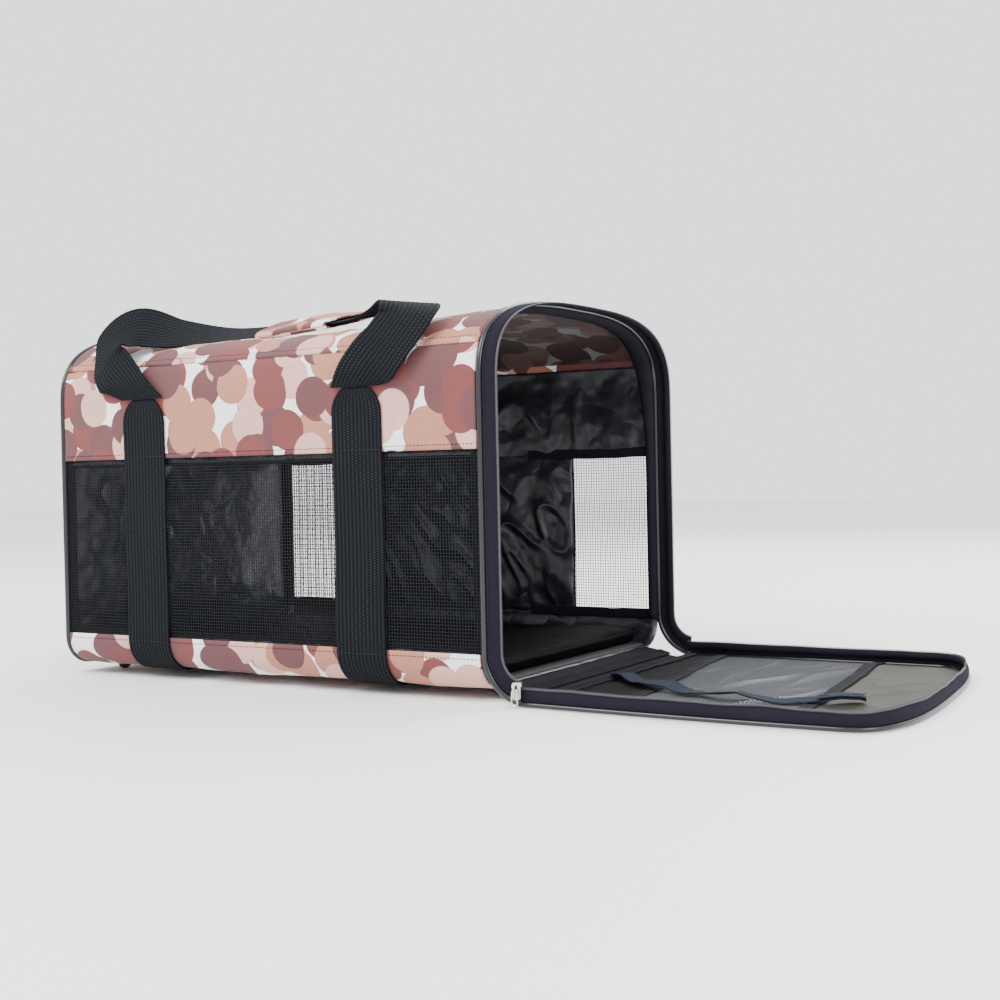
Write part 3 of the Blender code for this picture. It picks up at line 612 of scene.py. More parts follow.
def between_anchors(x, anchors):
    """How free the cloth is at x, from 0 at an anchor to 1 midway between two."""
    x = np.asarray(x, float)
    free = np.zeros_like(x)
    for a, b in zip(anchors, anchors[1:]):
        inside = (x >= a) & (x <= b)
        free[inside] = np.sin(np.pi * (x[inside] - a) / (b - a))
    return free


WALL_ANCHORS = (
    PANEL_START_X,
    BACK_STRAP_X - WEBBING_WIDTH / 2,
    BACK_STRAP_X + WEBBING_WIDTH / 2,
    FRONT_STRAP_X - WEBBING_WIDTH / 2,
    FRONT_STRAP_X + WEBBING_WIDTH / 2,
    PANEL_END_X,
)
FREE_SPANS = (WALL_ANCHORS[0:2], WALL_ANCHORS[2:4], WALL_ANCHORS[4:6])


def wall_freedom(x):
    """How far the side is free to swell at x: nowhere under the two straps."""
    return sum(between_anchors(x, span) for span in FREE_SPANS)


def outward(points):
    """Unit normals of a grid of points, by its neighbours."""
    first = np.gradient(points, axis=0)
    second = np.gradient(points, axis=1)
    return unit(np.cross(first, second))


def distances(points):
    """Each grid point's distances along the two directions of its grid, in metres."""
    down = np.linalg.norm(np.diff(points, axis=0), axis=-1).mean(axis=1)
    right = np.linalg.norm(np.diff(points, axis=1), axis=-1).mean(axis=0)
    first = np.concatenate([[0.0], np.cumsum(down)])
    second = np.concatenate([[0.0], np.cumsum(right)])
    return grid_of(first, second)


def grid_faces(rows, columns, round_rows=False, round_columns=False):
    """Quads over a grid of points, joined round where asked."""
    index = np.arange(rows * columns).reshape(rows, columns)
    if round_rows:
        index = np.vstack([index, index[:1]])
    if round_columns:
        index = np.hstack([index, index[:, :1]])
    quads = np.stack([index[:-1, :-1], index[1:, :-1], index[1:, 1:], index[:-1, 1:]], axis=-1)
    return quads.reshape(-1, 4)


def mesh_piece(name, points, faces, places=None):
    """A mesh object; places are (along, across) for each point, in metres."""
    mesh = bpy.data.meshes.new(name)
    points = np.asarray(points, float).reshape(-1, 3)
    mesh.from_pydata(points.tolist(), [], [list(map(int, face)) for face in faces])
    if places is not None:
        layer = mesh.uv_layers.new(name="metres")
        corners = np.empty(len(mesh.loops), np.int32)
        mesh.loops.foreach_get("vertex_index", corners)
        layer.data.foreach_set("uv", np.asarray(places, float).reshape(-1, 2)[corners].ravel())
    mesh.shade_smooth()
    mesh.validate()
    obj = bpy.data.objects.new(name, mesh)
    bpy.context.scene.collection.objects.link(obj)
    return obj


def settle(obj, finish, body="carrier_body", nodes=()):
    """Gives a finished piece its material, its body and the frame's solids that it stands for."""
    obj.data.materials.clear()
    obj.data.materials.append(FINISHES[finish])
    if body:
        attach(obj, body)
    if nodes:
        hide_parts(*nodes)
    return obj


def thicken(obj, thickness):
    solid = obj.modifiers.new("thickness", "SOLIDIFY")
    solid.thickness = thickness
    solid.offset = 0.0
    return obj


def bake_modifiers(obj):
    """Replaces the mesh by the one that its modifiers give."""
    bpy.context.view_layer.update()
    graph = bpy.context.evaluated_depsgraph_get()
    final = bpy.data.meshes.new_from_object(obj.evaluated_get(graph))
    obj.modifiers.clear()
    obj.data = final


def cloth(name, points, thickness, shift=(0.0, 0.0)):
    """A sheet of cloth over a grid of points, with its thickness on both sides of them."""
    points = np.asarray(points, float)
    places = np.stack(distances(points), axis=-1) + shift
    obj = mesh_piece(name, points, grid_faces(*points.shape[:2]), places)
    return thicken(obj, thickness)


def declare_cloth(points):
    """Takes a sheet's grid of points and does nothing with them."""
    points = np.asarray(points, float)


def on_grid(points, first, second):
    """Points and normals at shares (0 to 1) of the two directions of a grid."""
    rows, columns = points.shape[:2]
    normals = outward(points)
    place = np.clip(np.asarray(first, float), 0, 1) * (rows - 1)
    other = np.clip(np.asarray(second, float), 0, 1) * (columns - 1)
    i = np.minimum(place.astype(int), rows - 2)
    j = np.minimum(other.astype(int), columns - 2)
    s, t = (place - i)[:, None], (other - j)[:, None]
    found = []
    for grid in (points, normals):
        low = grid[i, j] * (1 - s) + grid[i + 1, j] * s
        high = grid[i, j + 1] * (1 - s) + grid[i + 1, j + 1] * s
        found.append(low * (1 - t) + high * t)
    return found


# ---------------------------------------------------------------- threads, stitches and teeth
def frames_along(path, closed=False):
    """Two directions square to a path at each of its points, turning as little as they can."""
    path = np.asarray(path, float)
    if closed:
        ahead = np.roll(path, -1, axis=0) - np.roll(path, 1, axis=0)
    else:
        ahead = np.gradient(path, axis=0)
    ahead = unit(ahead)
    side = np.cross(ahead[0], (0.0, 0.0, 1.0))
    if np.linalg.norm(side) < 0.1:
        side = np.cross(ahead[0], (0.0, 1.0, 0.0))
    sides = []
    for direction in ahead:
        side = side - direction * side.dot(direction)
        side = side / np.linalg.norm(side)
        sides.append(side)
    sides = np.array(sides)
    return sides, np.cross(ahead, sides)


def tube(name, path, radius, sides=10, closed=False):
    """A round tube along a path, its ends rounded over; radius is a number or one for each point."""
    path = np.asarray(path, float)
    radii = np.broadcast_to(np.asarray(radius, float), (len(path),)).copy()
    if not closed:
        ahead = path[1] - path[0], path[-1] - path[-2]
        first, last = (direction / np.linalg.norm(direction) for direction in ahead)
        shares = np.array([0.95, 0.8, 0.5, 0.05])
        cap = np.sqrt(1 - shares**2)
        start = path[0] - first * radii[0] * shares[:, None]
        end = path[-1] + last * radii[-1] * shares[::-1, None]
        path = np.vstack([start, path, end])
        radii = np.concatenate([radii[0] * cap, radii, radii[-1] * cap[::-1]])
    side, up = frames_along(path, closed)
    turn = np.linspace(0, 2 * math.pi, sides, endpoint=False)
    ring = side[:, None] * np.cos(turn)[None, :, None] + up[:, None] * np.sin(turn)[None, :, None]
    points = path[:, None] + ring * radii[:, None, None]
    places = spread(run_along(path)[:, None], (turn * radii.max())[None, :])
    faces = [list(face) for face in grid_faces(len(path), sides, closed, True)]
    if not closed:
        faces.append(list(range(sides))[::-1])
        faces.append(list(range((len(path) - 1) * sides, len(path) * sides)))
    return mesh_piece(name, points, faces, places)


class Bundle:
    """Many small bars gathered into one piece: stitches, zip teeth or threads."""

    def __init__(self):
        self.points = []
        self.faces = []
        self.count = 0

    def add(self, points, faces):
        self.points.append(np.asarray(points, float).reshape(-1, 3))
        self.faces.append(np.asarray(faces) + self.count)
        self.count += len(self.points[-1])

    def bars(self, starts, ends, normals, radius, flat=1.0, sides=6):
        """A rounded bar from each start to each end; flat squashes it towards the cloth."""
        starts, ends = np.asarray(starts, float), np.asarray(ends, float)
        ahead = ends - starts
        ahead = unit(ahead)
        up = normals - ahead * (normals * ahead).sum(axis=1, keepdims=True)
        up = unit(up)
        across = np.cross(ahead, up)
        shares = np.array([0.0, 0.12, 0.5, 0.88, 1.0])
        girths = np.array([0.35, 0.85, 1.0, 0.85, 0.35]) * radius
        turn = np.linspace(0, 2 * math.pi, sides, endpoint=False)
        middle = starts[:, None] + (ends - starts)[:, None] * shares[None, :, None]
        ring = across[:, None, None] * np.cos(turn)[None, None, :, None]
        ring = ring + up[:, None, None] * np.sin(turn)[None, None, :, None] * flat
        points = middle[:, :, None] + ring * girths[None, :, None, None]
        one = grid_faces(len(shares), sides, False, True)
        many = one[None] + (np.arange(len(starts)) * len(shares) * sides)[:, None, None]
        self.add(points, many.reshape(-1, 4))

    def seam(self, path, normals, sizes):
        """Running stitches along a path that lies on the cloth."""
        lift, share = 0.0002, 0.62
        path, normals = np.asarray(path, float), np.asarray(normals, float)
        place = run_along(path)
        count = max(1, int(place[-1] / sizes.stitch_pitch))
        pitch = place[-1] / count
        begin = np.arange(count) * pitch
        raised = path + normals * lift

        starts, ends = (points_at(wanted, place, raised) for wanted in (begin, begin + pitch * share))
        self.bars(starts, ends, points_at(begin, place, normals), sizes.stitch_radius, 0.7)

    def make(self, name):
        return mesh_piece(name, np.vstack(self.points), np.vstack(self.faces))


def thread_mesh(name, surface, width, height, sizes):
    """A square mesh of crossing threads over surface(along, across), both in metres."""
    pitch, radius = sizes.thread_pitch, sizes.thread_radius
    columns, rows = round(width / pitch), round(height / pitch)
    along = np.linspace(0, width, columns + 1)
    across = np.linspace(0, height, rows + 1)
    points = surface(*grid_of(along, across))
    normal = outward(points)
    first = np.gradient(points, axis=0)
    first = unit(first)
    second = np.cross(normal, first)
    over = np.where((np.add.outer(np.arange(columns + 1), np.arange(rows + 1)) % 2) > 0, 1.0, -1.0)
    weave = normal * (over * radius * 0.75)[..., None]
    bundle = Bundle()
    turn = np.radians((45, 135, 225, 315))
    for lines, side, sign in ((points, second, 1.0), (points.swapaxes(0, 1), first.swapaxes(0, 1), -1.0)):
        away = normal if sign > 0 else normal.swapaxes(0, 1)
        lift = weave if sign > 0 else -weave.swapaxes(0, 1)
        ring = side[..., None, :] * np.cos(turn)[:, None] + away[..., None, :] * np.sin(turn)[:, None]
        grid = (lines + lift)[..., None, :] + ring * radius
        long, many = grid.shape[0], grid.shape[1]
        grid = grid.swapaxes(0, 1)
        one = grid_faces(long, 4, False, True)
        faces = one[None] + (np.arange(many) * long * 4)[:, None, None]
        bundle.add(grid, faces.reshape(-1, 4))
    return bundle.make(name)


def ribbon(name, path, across, width, thickness, ribs=0, rib_height=0.0, widths=None):
    """Webbing or tape along a path: across is its sideways direction at each point of the path."""
    path, across = np.asarray(path, float), np.asarray(across, float)
    across = unit(across)
    ahead = np.gradient(path, axis=0)
    normal = np.cross(ahead, across)
    normal = unit(normal)
    steps = ribs * 4 if ribs else 10
    side = np.linspace(-1, 1, steps + 1)
    edge = np.clip((1 - np.abs(side)) * width / thickness, 0, 1)
    half = thickness / 2 * np.sqrt(1 - (1 - edge) ** 2 * 0.9)
    if ribs:
        half = half + rib_height * np.abs(np.sin(np.pi * ribs * (side + 1) / 2)) * edge - rib_height / 2
    loop_side = np.concatenate([side, side[::-1]])
    loop_lift = np.concatenate([half, -half[::-1]])
    scale = np.ones(len(path)) if widths is None else np.asarray(widths, float)
    sideways = across[:, None] * (loop_side * width / 2)[None, :, None] * scale[:, None, None]
    points = path[:, None] + sideways + normal[:, None] * loop_lift[None, :, None]
    along = run_along(path)
    place = np.broadcast_arrays(along[:, None], (loop_side * width / 2 + width / 2)[None, :])
    count = len(loop_side)
    faces = [list(face) for face in grid_faces(len(path), count, False, True)]
    for start in (0, (len(path) - 1) * count):
        for step in range(steps):
            low, high = start + step, start + count - 1 - step
            faces.append([low, low + 1, high - 1, high] if start else [high, high - 1, low + 1, low])
    return mesh_piece(name, points, faces, np.stack(place, axis=-1))


# ---------------------------------------------------------------- pieces of the body
def wall_grid(start, end, columns, rows, y=0.0):
    """An upright grid between two (x, z) corners: its x, its z, and its points at y."""
    x, z = grid_of(np.linspace(start[0], end[0], columns), np.linspace(start[1], end[1], rows))
    return x, z, spread(x, y, z)


def upper_band_points(side, sizes):
    """The printed band above the mesh, swelling a little between the straps."""
    x, z, flat = wall_grid((PANEL_START_X, BAND_Z + GAP), (PANEL_END_X, SEAM_Z + 0.003), 170, 34,
                           side * RIPPLE_Y)
    free = wall_freedom(x) * hump((z - BAND_Z) / (SEAM_Z - BAND_Z))
    swell = free * sizes.puff * (1 + ripples(flat, 0.040, 3.1 + side) * 1.4)
    pull = ripples(flat * (1.0, 1.0, 0.35), 0.012, 8.0 + side) * 0.00025
    hem = np.where(z < BAND_Z + 0.0056, 0.0004, 0.0)
    tuck = np.clip((z - SEAM_Z + 0.001) / 0.003, 0, 1) * 0.0014
    out = half_width_at(z) - CLOTH / 2 + swell + pull * (free > 0) + hem - tuck
    return spread(x, side * out, z)


def top_points():
    """The arched top, hanging a little between its two hoops."""
    share = (SEAM_Z - ARCH_START_Z) / (CREST_Z - ARCH_START_Z)
    turn = math.degrees(math.asin(share ** (ARCH_POWER / 2)))
    line = resample(arch(CLOTH / 2, 240, turn_from=turn, turn_to=180 - turn), 130)
    x = np.linspace(PANEL_START_X, PANEL_END_X, 150)[:, None]
    y, z = line[:, 0][None], line[:, 1][None]
    lengthwise = hump((x - BACK_X) / (FRONT_X - BACK_X))
    sideways = np.cos(np.pi / 2 * np.minimum(1, np.abs(y) / HALF_WIDTH))
    raised = np.minimum(1, np.maximum(0, (z - SEAM_Z) / (CREST_Z - SEAM_Z)) + 0.15)
    sag = TOP_SAG * lengthwise * sideways**0.6 * raised
    flat = spread(x, y, z)
    broad = ripples(flat, 0.075, 21.0) * 0.0022
    fine = creases(flat * (1.0, 0.6, 1.0), 0.030, 4.0) * 0.0010
    loose = lengthwise * np.clip(sideways * 2.2, 0, 1)
    from_seam = np.minimum(np.arange(130), np.arange(130)[::-1])[None] * 0.0028
    welt = np.where(from_seam < 0.006, 0.0009, 0.0)
    height = z - sag + (broad + fine) * loose + welt * 0.5
    return spread(x, y * (1 + welt / HALF_WIDTH), height)


def lower_band_points(side, sizes):
    """The printed band below the mesh, which turns under the body."""
    wall = np.array([(side * WALL_Y, WINDOW_Z - GAP)])
    under = np.array([(side * UNDER_SEAM_Y, UNDERSIDE_Z + CLOTH / 2)])
    line = resample(np.vstack([wall, lower_corner(CLOTH / 2, side, 12), under]), 34)
    middle = np.array([side * (HALF_WIDTH - CORNER_RADIUS), UNDERSIDE_Z + CORNER_RADIUS])
    away = line - middle
    away[:, 1] = np.minimum(away[:, 1], 0)
    away = unit(away)
    x = np.linspace(PANEL_START_X, PANEL_END_X, 170)
    flat = spread(x[:, None], line[None, :, 0], line[None, :, 1])
    span = np.linspace(0, 1, len(line))[None]
    free = wall_freedom(x)[:, None] * hump(span * 0.9)
    swell = free * (sizes.puff * 0.9 + ripples(flat, 0.035, 13.0 + side) * 0.0012)
    hem = np.where(span < 0.13, 0.0003, 0.0)
    moved = flat.copy()
    moved[..., 1:] += away[None] * (swell + hem)[..., None]
    return moved


def outline_points(inset, x, rings, swell, seed):
    """A sheet across the whole cross-section, as rings that shrink towards its middle."""
    loop = body_outline(inset)
    loop = resample_loop(loop, 160)
    middle = np.array([0.0, 0.150])
    shares = np.linspace(1.0, 0.02, rings)[:, None, None]
    flat = middle + (loop - middle)[None] * shares
    places = np.concatenate([np.zeros((rings, 160, 1)), flat], axis=-1)
    free = np.sin(np.pi / 2 * np.clip((1 - shares[..., 0]) * 2.5, 0, 1))
    out = x + swell * free * (1 + ripples(places, 0.060, seed))
    return np.concatenate([np.broadcast_to(out[..., None], (rings, 160, 1)), flat], axis=-1), flat


def end_sheet(name, inset, x, swell, seed, thickness):
    """An end panel from outline_points, closed at its middle."""
    points, places = outline_points(inset, x, 26, swell, seed)
    faces = [list(face) for face in grid_faces(26, 160, False, True)]
    faces.append(list(range(25 * 160, 26 * 160))[::-1])
    obj = mesh_piece(name, points, faces, places)
    return thicken(obj, thickness)


class CARRIER_OT_printed_panels(bpy.types.Operator):
    """Sews the printed sides, top, underside and back end, and their rows of stitches"""

    bl_idname = "carrier.printed_panels"
    bl_label = "Printed panels"

    def execute(self, context):
        sizes = context.scene.carrier_sizes
        seams = Bundle()
        for name, side in (("near", -1), ("far", 1)):
            band = upper_band_points(side, sizes)
            obj = cloth(f"{name}_printed_upper", band, CLOTH, (0.0, 0.3))
            settle(obj, f"print_{name}", nodes=[f"{name}_upper_band"])
            declare_cloth(band)
            low = lower_band_points(side, sizes)
            obj = cloth(f"{name}_printed_lower", low, CLOTH, (0.0, 0.9))
            settle(obj, "print_low", nodes=[f"{name}_lower_band"])
            declare_cloth(low)
            shares = np.linspace(0.004, 0.996, 260)
            for grid, height in ((band, 0.046), (low, 0.075), (low, 0.90)):
                row, normals = on_grid(grid, shares, np.full_like(shares, height))
                out = normals * (-side if grid is band else side)
                seams.seam(row + out * CLOTH / 2, out, sizes)
        top = top_points()
        obj = cloth("printed_top", top, CLOTH)
        settle(obj, "print_top", nodes=["top_panel"])
        declare_cloth(top)
        # A sheet under the top carries its print darkened to 0.16: painted shade on the ceiling inside the
        # body.
        painted_shade_ceiling = cloth("printed_top_inside_painted_shade", top - (0.0, 0.0, CLOTH + 0.0003), 0.0004)
        settle(painted_shade_ceiling, "print_inside_painted_shade")
        for height in (0.018, 0.982):
            row, normals = on_grid(top, shares, np.full_like(shares, height))
            seams.seam(row + normals * CLOTH / 2, normals, sizes)
        x = np.linspace(PANEL_START_X, PANEL_END_X, 80)
        y = np.linspace(-UNDER_SEAM_Y, UNDER_SEAM_Y, 60)
        under = np.stack([*grid_of(x, y), np.zeros((80, 60))], axis=-1)
        slack = hump((under[..., 0] - PANEL_START_X) / (PANEL_END_X - PANEL_START_X))
        under[..., 2] = UNDERSIDE_Z + CLOTH / 2 - slack * (0.0006 + ripples(under, 0.05, 2.0) * 0.0005)
        obj = cloth("printed_underside", under, CLOTH * 0.8)
        settle(obj, "print_low", nodes=["bottom_panel"])
        inset = PIPING_INSET + PIPING_RADIUS + GAP
        obj = end_sheet("printed_back", inset, BACK_X, -0.0016, 31.0, CLOTH)
        settle(obj, "print_back", nodes=["back_panel"])
        settle(seams.make("panel_stitches"), "stitch")
        return {"FINISHED"}


def lining_folds(flat, stretch, size, seed):
    """Folds of loose nylon: broad waves with sharp creases along them, from 0 to 1."""
    placed = flat * stretch
    broad = ripples(placed, size, seed) * 0.5 + 0.5
    sharp = creases(placed, size * 0.8, seed + 5)
    return np.clip(broad * 0.55 + sharp * 0.45, 0, 1)


class CARRIER_OT_linings(bpy.types.Operator):
    """Hangs the loose black nylon inside the body, and the pocket on the far side"""

    bl_idname = "carrier.linings"
    bl_label = "Linings and pocket"

    def execute(self, context):
        sizes = context.scene.carrier_sizes
        for name, side in (("near", -1), ("far", 1)):
            x, z, flat = wall_grid((PANEL_START_X, BAND_Z - 0.004), (PANEL_END_X, SEAM_Z - 0.003), 150, 50,
                                   side * RIPPLE_Y)
            fold = lining_folds(flat, (1.0, 1.0, 0.45), 0.045, 40.0 + side)
            free = hump((z - BAND_Z + 0.004) / 0.081) ** 0.6 * hump((x - BACK_X) / (FRONT_X - BACK_X)) ** 0.25
            deep = CLOTH + 0.0012 + free * fold * sizes.lining_folds * 1.3
            points = spread(x, side * (half_width_at(z) - deep), z)
            obj = cloth(f"{name}_upper_nylon", points, 0.0006)
            settle(obj, "nylon", nodes=[f"{name}_upper_lining"])
        start_x, end_x = BACK_STRAP_X - WEBBING_WIDTH / 2, FRONT_STRAP_X + WEBBING_WIDTH / 2
        x, z, flat = wall_grid((start_x, WINDOW_Z - 0.003), (end_x, BAND_Z + 0.002), 150, 110)
        rise = (z - WINDOW_Z) / (BAND_Z - WINDOW_Z)
        free = (hump(rise) * hump((x - start_x) / (end_x - start_x))) ** 0.35
        fold = lining_folds(flat + 0.35 * flat[..., ::-1], (1.0, 1.0, 0.7), 0.036, 3.0)
        sunk = 0.0012 + free * fold * sizes.lining_folds * 1.5
        wall = spread(x, WALL_Y - sunk, z)
        settle(cloth("far_nylon_wall", wall, 0.0007), "nylon", nodes=["far_pocket_wall"])
        self.line_floor()
        low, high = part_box("far_storage_pocket")
        x, z, flat = wall_grid((low[0], low[2]), (high[0], high[2]), 90, 70)
        free = hump((x - low[0]) / (high[0] - low[0])) * np.clip((z - low[2]) / 0.03, 0, 1)
        out = 0.0016 + free * (0.0022 + ripples(flat, 0.045, 9.0) * 0.0014)
        pocket = spread(x, HALF_WIDTH + out, z)
        obj = cloth("far_pocket_front", pocket, 0.0010)
        settle(obj, "nylon", nodes=["far_storage_pocket"])
        declare_cloth(pocket)
        edge = pocket[:, -1] + (0.0, 0.0004, 0.0005)
        across = np.tile((0.0, 0.0, 1.0), (len(edge), 1))
        binding = ribbon("far_pocket_hem", edge, across, 0.009, 0.0024)
        settle(binding, "tape", nodes=["far_pocket_binding"])
        inset = PIPING_INSET + PIPING_RADIUS + GAP + CLOTH + 0.0015
        obj = end_sheet("back_nylon", inset, BACK_X + CLOTH + 0.0012, 0.0030, 17.0, 0.0007)
        settle(obj, "nylon", nodes=["back_lining"])
        return {"FINISHED"}

    def line_floor(self):
        """Black cloth over the inside of the lower bands and the floor, in one length."""
        half = np.vstack([[(WALL_Y - 0.0022, WINDOW_Z + 0.001)], lower_corner(CLOTH + 0.0012, 1, 10),
                          [(0.0, UNDERSIDE_Z + CLOTH + 0.0008)]])
        line = resample(np.vstack([half * (-1, 1), half[-2::-1]]), 120)
        x = np.linspace(PANEL_START_X + 0.002, FRONT_X - 0.001, 60)
        points = spread(x[:, None], line[None, :, 0], line[None, :, 1])
        settle(cloth("floor_nylon", points, 0.0005), "nylon")


def wall_surface(side, start_x, low_z, seed, anchors):
    """A mesh wall over (along, up) in metres, waving a little between its anchors."""

    def surface(along, up):
        x, z = start_x + along, low_z + up
        flat = spread(x, 0.0, z)
        free = sum(between_anchors(x, span) for span in anchors) ** 0.5
        free = free * hump((z - WINDOW_Z) / (BAND_Z - WINDOW_Z)) ** 0.5
        wave = ripples(flat * (1.0, 1.0, 0.6), 0.050, seed, 1) * 0.0020
        lean = ripples(flat[..., ::-1], 0.060, seed + 2, 1) * 0.0007
        return spread(x + lean * free, side * (WALL_Y + wave * free), z)

    return surface


class CARRIER_OT_mesh_windows(bpy.types.Operator):
    """Weaves the mesh of the sides, thread by thread, and binds its edges"""

    bl_idname = "carrier.mesh_windows"
    bl_label = "Mesh windows"

    def execute(self, context):
        sizes = context.scene.carrier_sizes
        for name, side, seed in (
            ("near_mesh_window", -1, 5.0),
            ("far_back_mesh_window", 1, 15.0),
            ("far_front_mesh_window", 1, 25.0),
        ):
            low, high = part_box(name)
            spans = FREE_SPANS if side < 0 else ((low[0], high[0]),)
            surface = wall_surface(side, low[0], low[2], seed, spans)
            obj = thread_mesh(name + "_threads", surface, high[0] - low[0], high[2] - low[2], sizes)
            settle(obj, "mesh", nodes=[name])
            self.bind_edges(name, side, low, high)
        return {"FINISHED"}

    def bind_edges(self, name, side, low, high):
        """Black tape round a window, all of it on the inside."""
        inner = side * (WALL_Y - 0.0021)
        wide = 0.0090
        half = 0.0022
        rails = (
            ("back", (low[0] + half, low[2]), (low[0] + half, high[2]), inner),
            ("front", (high[0] - half, low[2]), (high[0] - half, high[2]), inner),
            ("top", (low[0], high[2] - 0.002), (high[0], high[2] - 0.002), inner - side * 0.0012),
            ("foot", (low[0], low[2] + 0.001), (high[0], low[2] + 0.001), inner - side * 0.0012),
        )
        for place, start, end, y in rails:
            share = np.linspace(0, 1, 60)[:, None]
            flat = np.array(start) + (np.array(end) - np.array(start)) * share
            path = np.column_stack([flat[:, 0], np.full(60, y), flat[:, 1]])
            upright = place in ("back", "front")
            across = np.tile((1.0, 0.0, 0.0) if upright else (0.0, 0.0, 1.0), (60, 1))
            path = path + across * (ripples(path, 0.04, len(place) + 2.0) * 0.0008)[:, None]
            tape = ribbon(f"{name}_{place}_tape", path, across, wide, 0.0009)
            settle(tape, "tape")


class CARRIER_OT_piping_and_channels(bpy.types.Operator):
    """Runs the glossy piping round both ends, and the sleeves that hold the two sprung hoops"""

    bl_idname = "carrier.piping_and_channels"
    bl_label = "Piping and hoop sleeves"

    def execute(self, context):
        front = resample(mouth_line(0.0), 420)
        settle(tube("front_piping_cord", front, PIPING_RADIUS * 0.92, 14), "piping",
               nodes=["front_piping"])
        loop = body_outline(PIPING_INSET)
        loop = resample_loop(loop, 420)
        back = np.column_stack([np.full(len(loop), BACK_X), loop])
        settle(tube("back_piping_cord", back, PIPING_RADIUS * 0.92, 14, closed=True), "piping",
               nodes=["back_piping"])
        for name, edge, inward in (("front", FRONT_X - 0.0006, -1), ("back", BACK_X + 0.0012, 1)):
            legs = np.linspace(UNDERSIDE_Z + CORNER_RADIUS, ARCH_START_Z, 30)[:-1]
            shares = np.linspace(0, 1, 14)
            rows = []
            for share in shares:
                inset = 0.0028 + 0.0046 * float(hump(share)) ** 0.5
                leg = np.column_stack([np.full_like(legs, -(HALF_WIDTH - inset)), legs])
                line = np.vstack([leg, arch(inset, 100), leg[::-1] * (-1, 1)])
                over = np.clip((line[:, 1] - 0.20) / 0.07, 0, 1)
                wide = 0.0085 + 0.0085 * over
                rows.append(np.column_stack([edge + inward * wide * share, line]))
            points = np.stack(rows, axis=1)
            settle(cloth(f"{name}_hoop_sleeve", points, 0.0007), "zip_tape")
            node = bpy.data.objects[frame["nodes"][f"{name}_hoop"].name]
            for slot in node.material_slots:
                slot.material = FINISHES["wire"]
        return {"FINISHED"}


def mouth_normals(line):
    """The outward direction at each point of the mouth's edge."""
    ahead = np.gradient(line, axis=0)
    normal = np.column_stack([np.zeros(len(line)), -ahead[:, 2], ahead[:, 1]])
    return unit(normal)


def at_pitch(first, second, normals, pitch):
    """Pairs of points, one on each of two matching lines, spaced evenly along the first."""
    place = run_along(first)
    wanted = np.arange(pitch / 2, place[-1], pitch)
    return [points_at(wanted, place, line) for line in (first, second, normals)]


def zip_half(name, root, tip, normals, sizes):
    """Half of a zip: the turns of its coil, from root on the tape to tip, and the cord in them."""
    starts, ends, away = at_pitch(root, tip, normals, sizes.tooth_pitch)
    bundle = Bundle()
    bundle.bars(starts + away * 0.0002, ends, away, 0.00052, 0.8)
    core = tube(name + "_cord", root + (tip - root) * 0.45, 0.00045, 6)
    return bundle.make(name), core


class CARRIER_OT_mouth(bpy.types.Operator):
    """Sews the gusset, zip and sill round the mouth"""

    bl_idname = "carrier.mouth"
    bl_label = "Mouth, zip and sill"

    def execute(self, context):
        sizes = context.scene.carrier_sizes
        start = PIPING_RADIUS - 0.0004
        end = PIPING_RADIUS + GAP + GUSSET_DEPTH
        shares = np.linspace(0, 1, 12)
        base = mouth_line(0.0)
        normals = mouth_normals(base)
        rows = []
        for share in shares:
            line = mouth_line(start + (end - start) * share)
            swell = 0.0009 * float(hump(share)) - 0.0004
            rows.append(line + normals * swell)
        grid = np.stack(rows, axis=1)
        wave = ripples(grid, 0.030, 6.0) * 0.0003
        grid = grid + outward(grid) * wave[..., None]
        settle(cloth("front_gusset_cloth", grid, 0.0011), "gusset",
               nodes=["front_gusset"])
        tape = np.stack([mouth_line(end - 0.0045) - normals * 0.0011,
                         mouth_line(end + 0.0012) - normals * 0.0009], axis=1)
        settle(cloth("front_zip_tape", tape, 0.0006), "zip_tape")
        edge = mouth_line(end - 0.0002) + normals * 0.0001
        settle(tube("front_gusset_fold", edge, 0.0007, 8), "gusset")
        root = mouth_line(end + 0.0001)
        tip = mouth_line(end + 0.0028)
        teeth, core = zip_half("front_zip_teeth", root, tip, normals, sizes)
        settle(teeth, "coil", nodes=["front_zip_coil"])
        settle(core, "coil")
        seam = Bundle()
        row = mouth_line(start + 0.0020)
        seam.seam(row + normals * 0.0011, normals, sizes)
        settle(seam.make("gusset_stitches"), "black_stitch")
        self.make_sill()
        return {"FINISHED"}

    def make_sill(self):
        """The cloth across the foot of the mouth, with the bound edge that the door folds on."""
        low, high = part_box("front_sill")
        x = np.linspace(FRONT_X - 0.002, HINGE_X - 0.002, 40)
        y = np.linspace(low[1] - 0.004, high[1] + 0.004, 160)
        x, y = grid_of(x, y)
        share = (x - x.min()) / (x.max() - x.min())
        fall = share * share * (3 - 2 * share)
        z = UNDERSIDE_Z + 0.0012 + (DOOR_Z - UNDERSIDE_Z - 0.0008) * fall
        flat = spread(x, y, 0.0)
        z = z + hump(share) * ripples(flat, 0.022, 2.0) * 0.0008
        points = spread(x, y, z)
        settle(cloth("sill_cloth", points, 0.0011), "zip_tape", nodes=["front_sill"])
        row = points[24]
        wide = np.tile((1.0, 0.0, -0.25), (len(row), 1))
        tape = ribbon("sill_tape", row + (0.0, 0.0, 0.0016), wide, 0.0120, 0.0016)
        settle(tape, "tape")


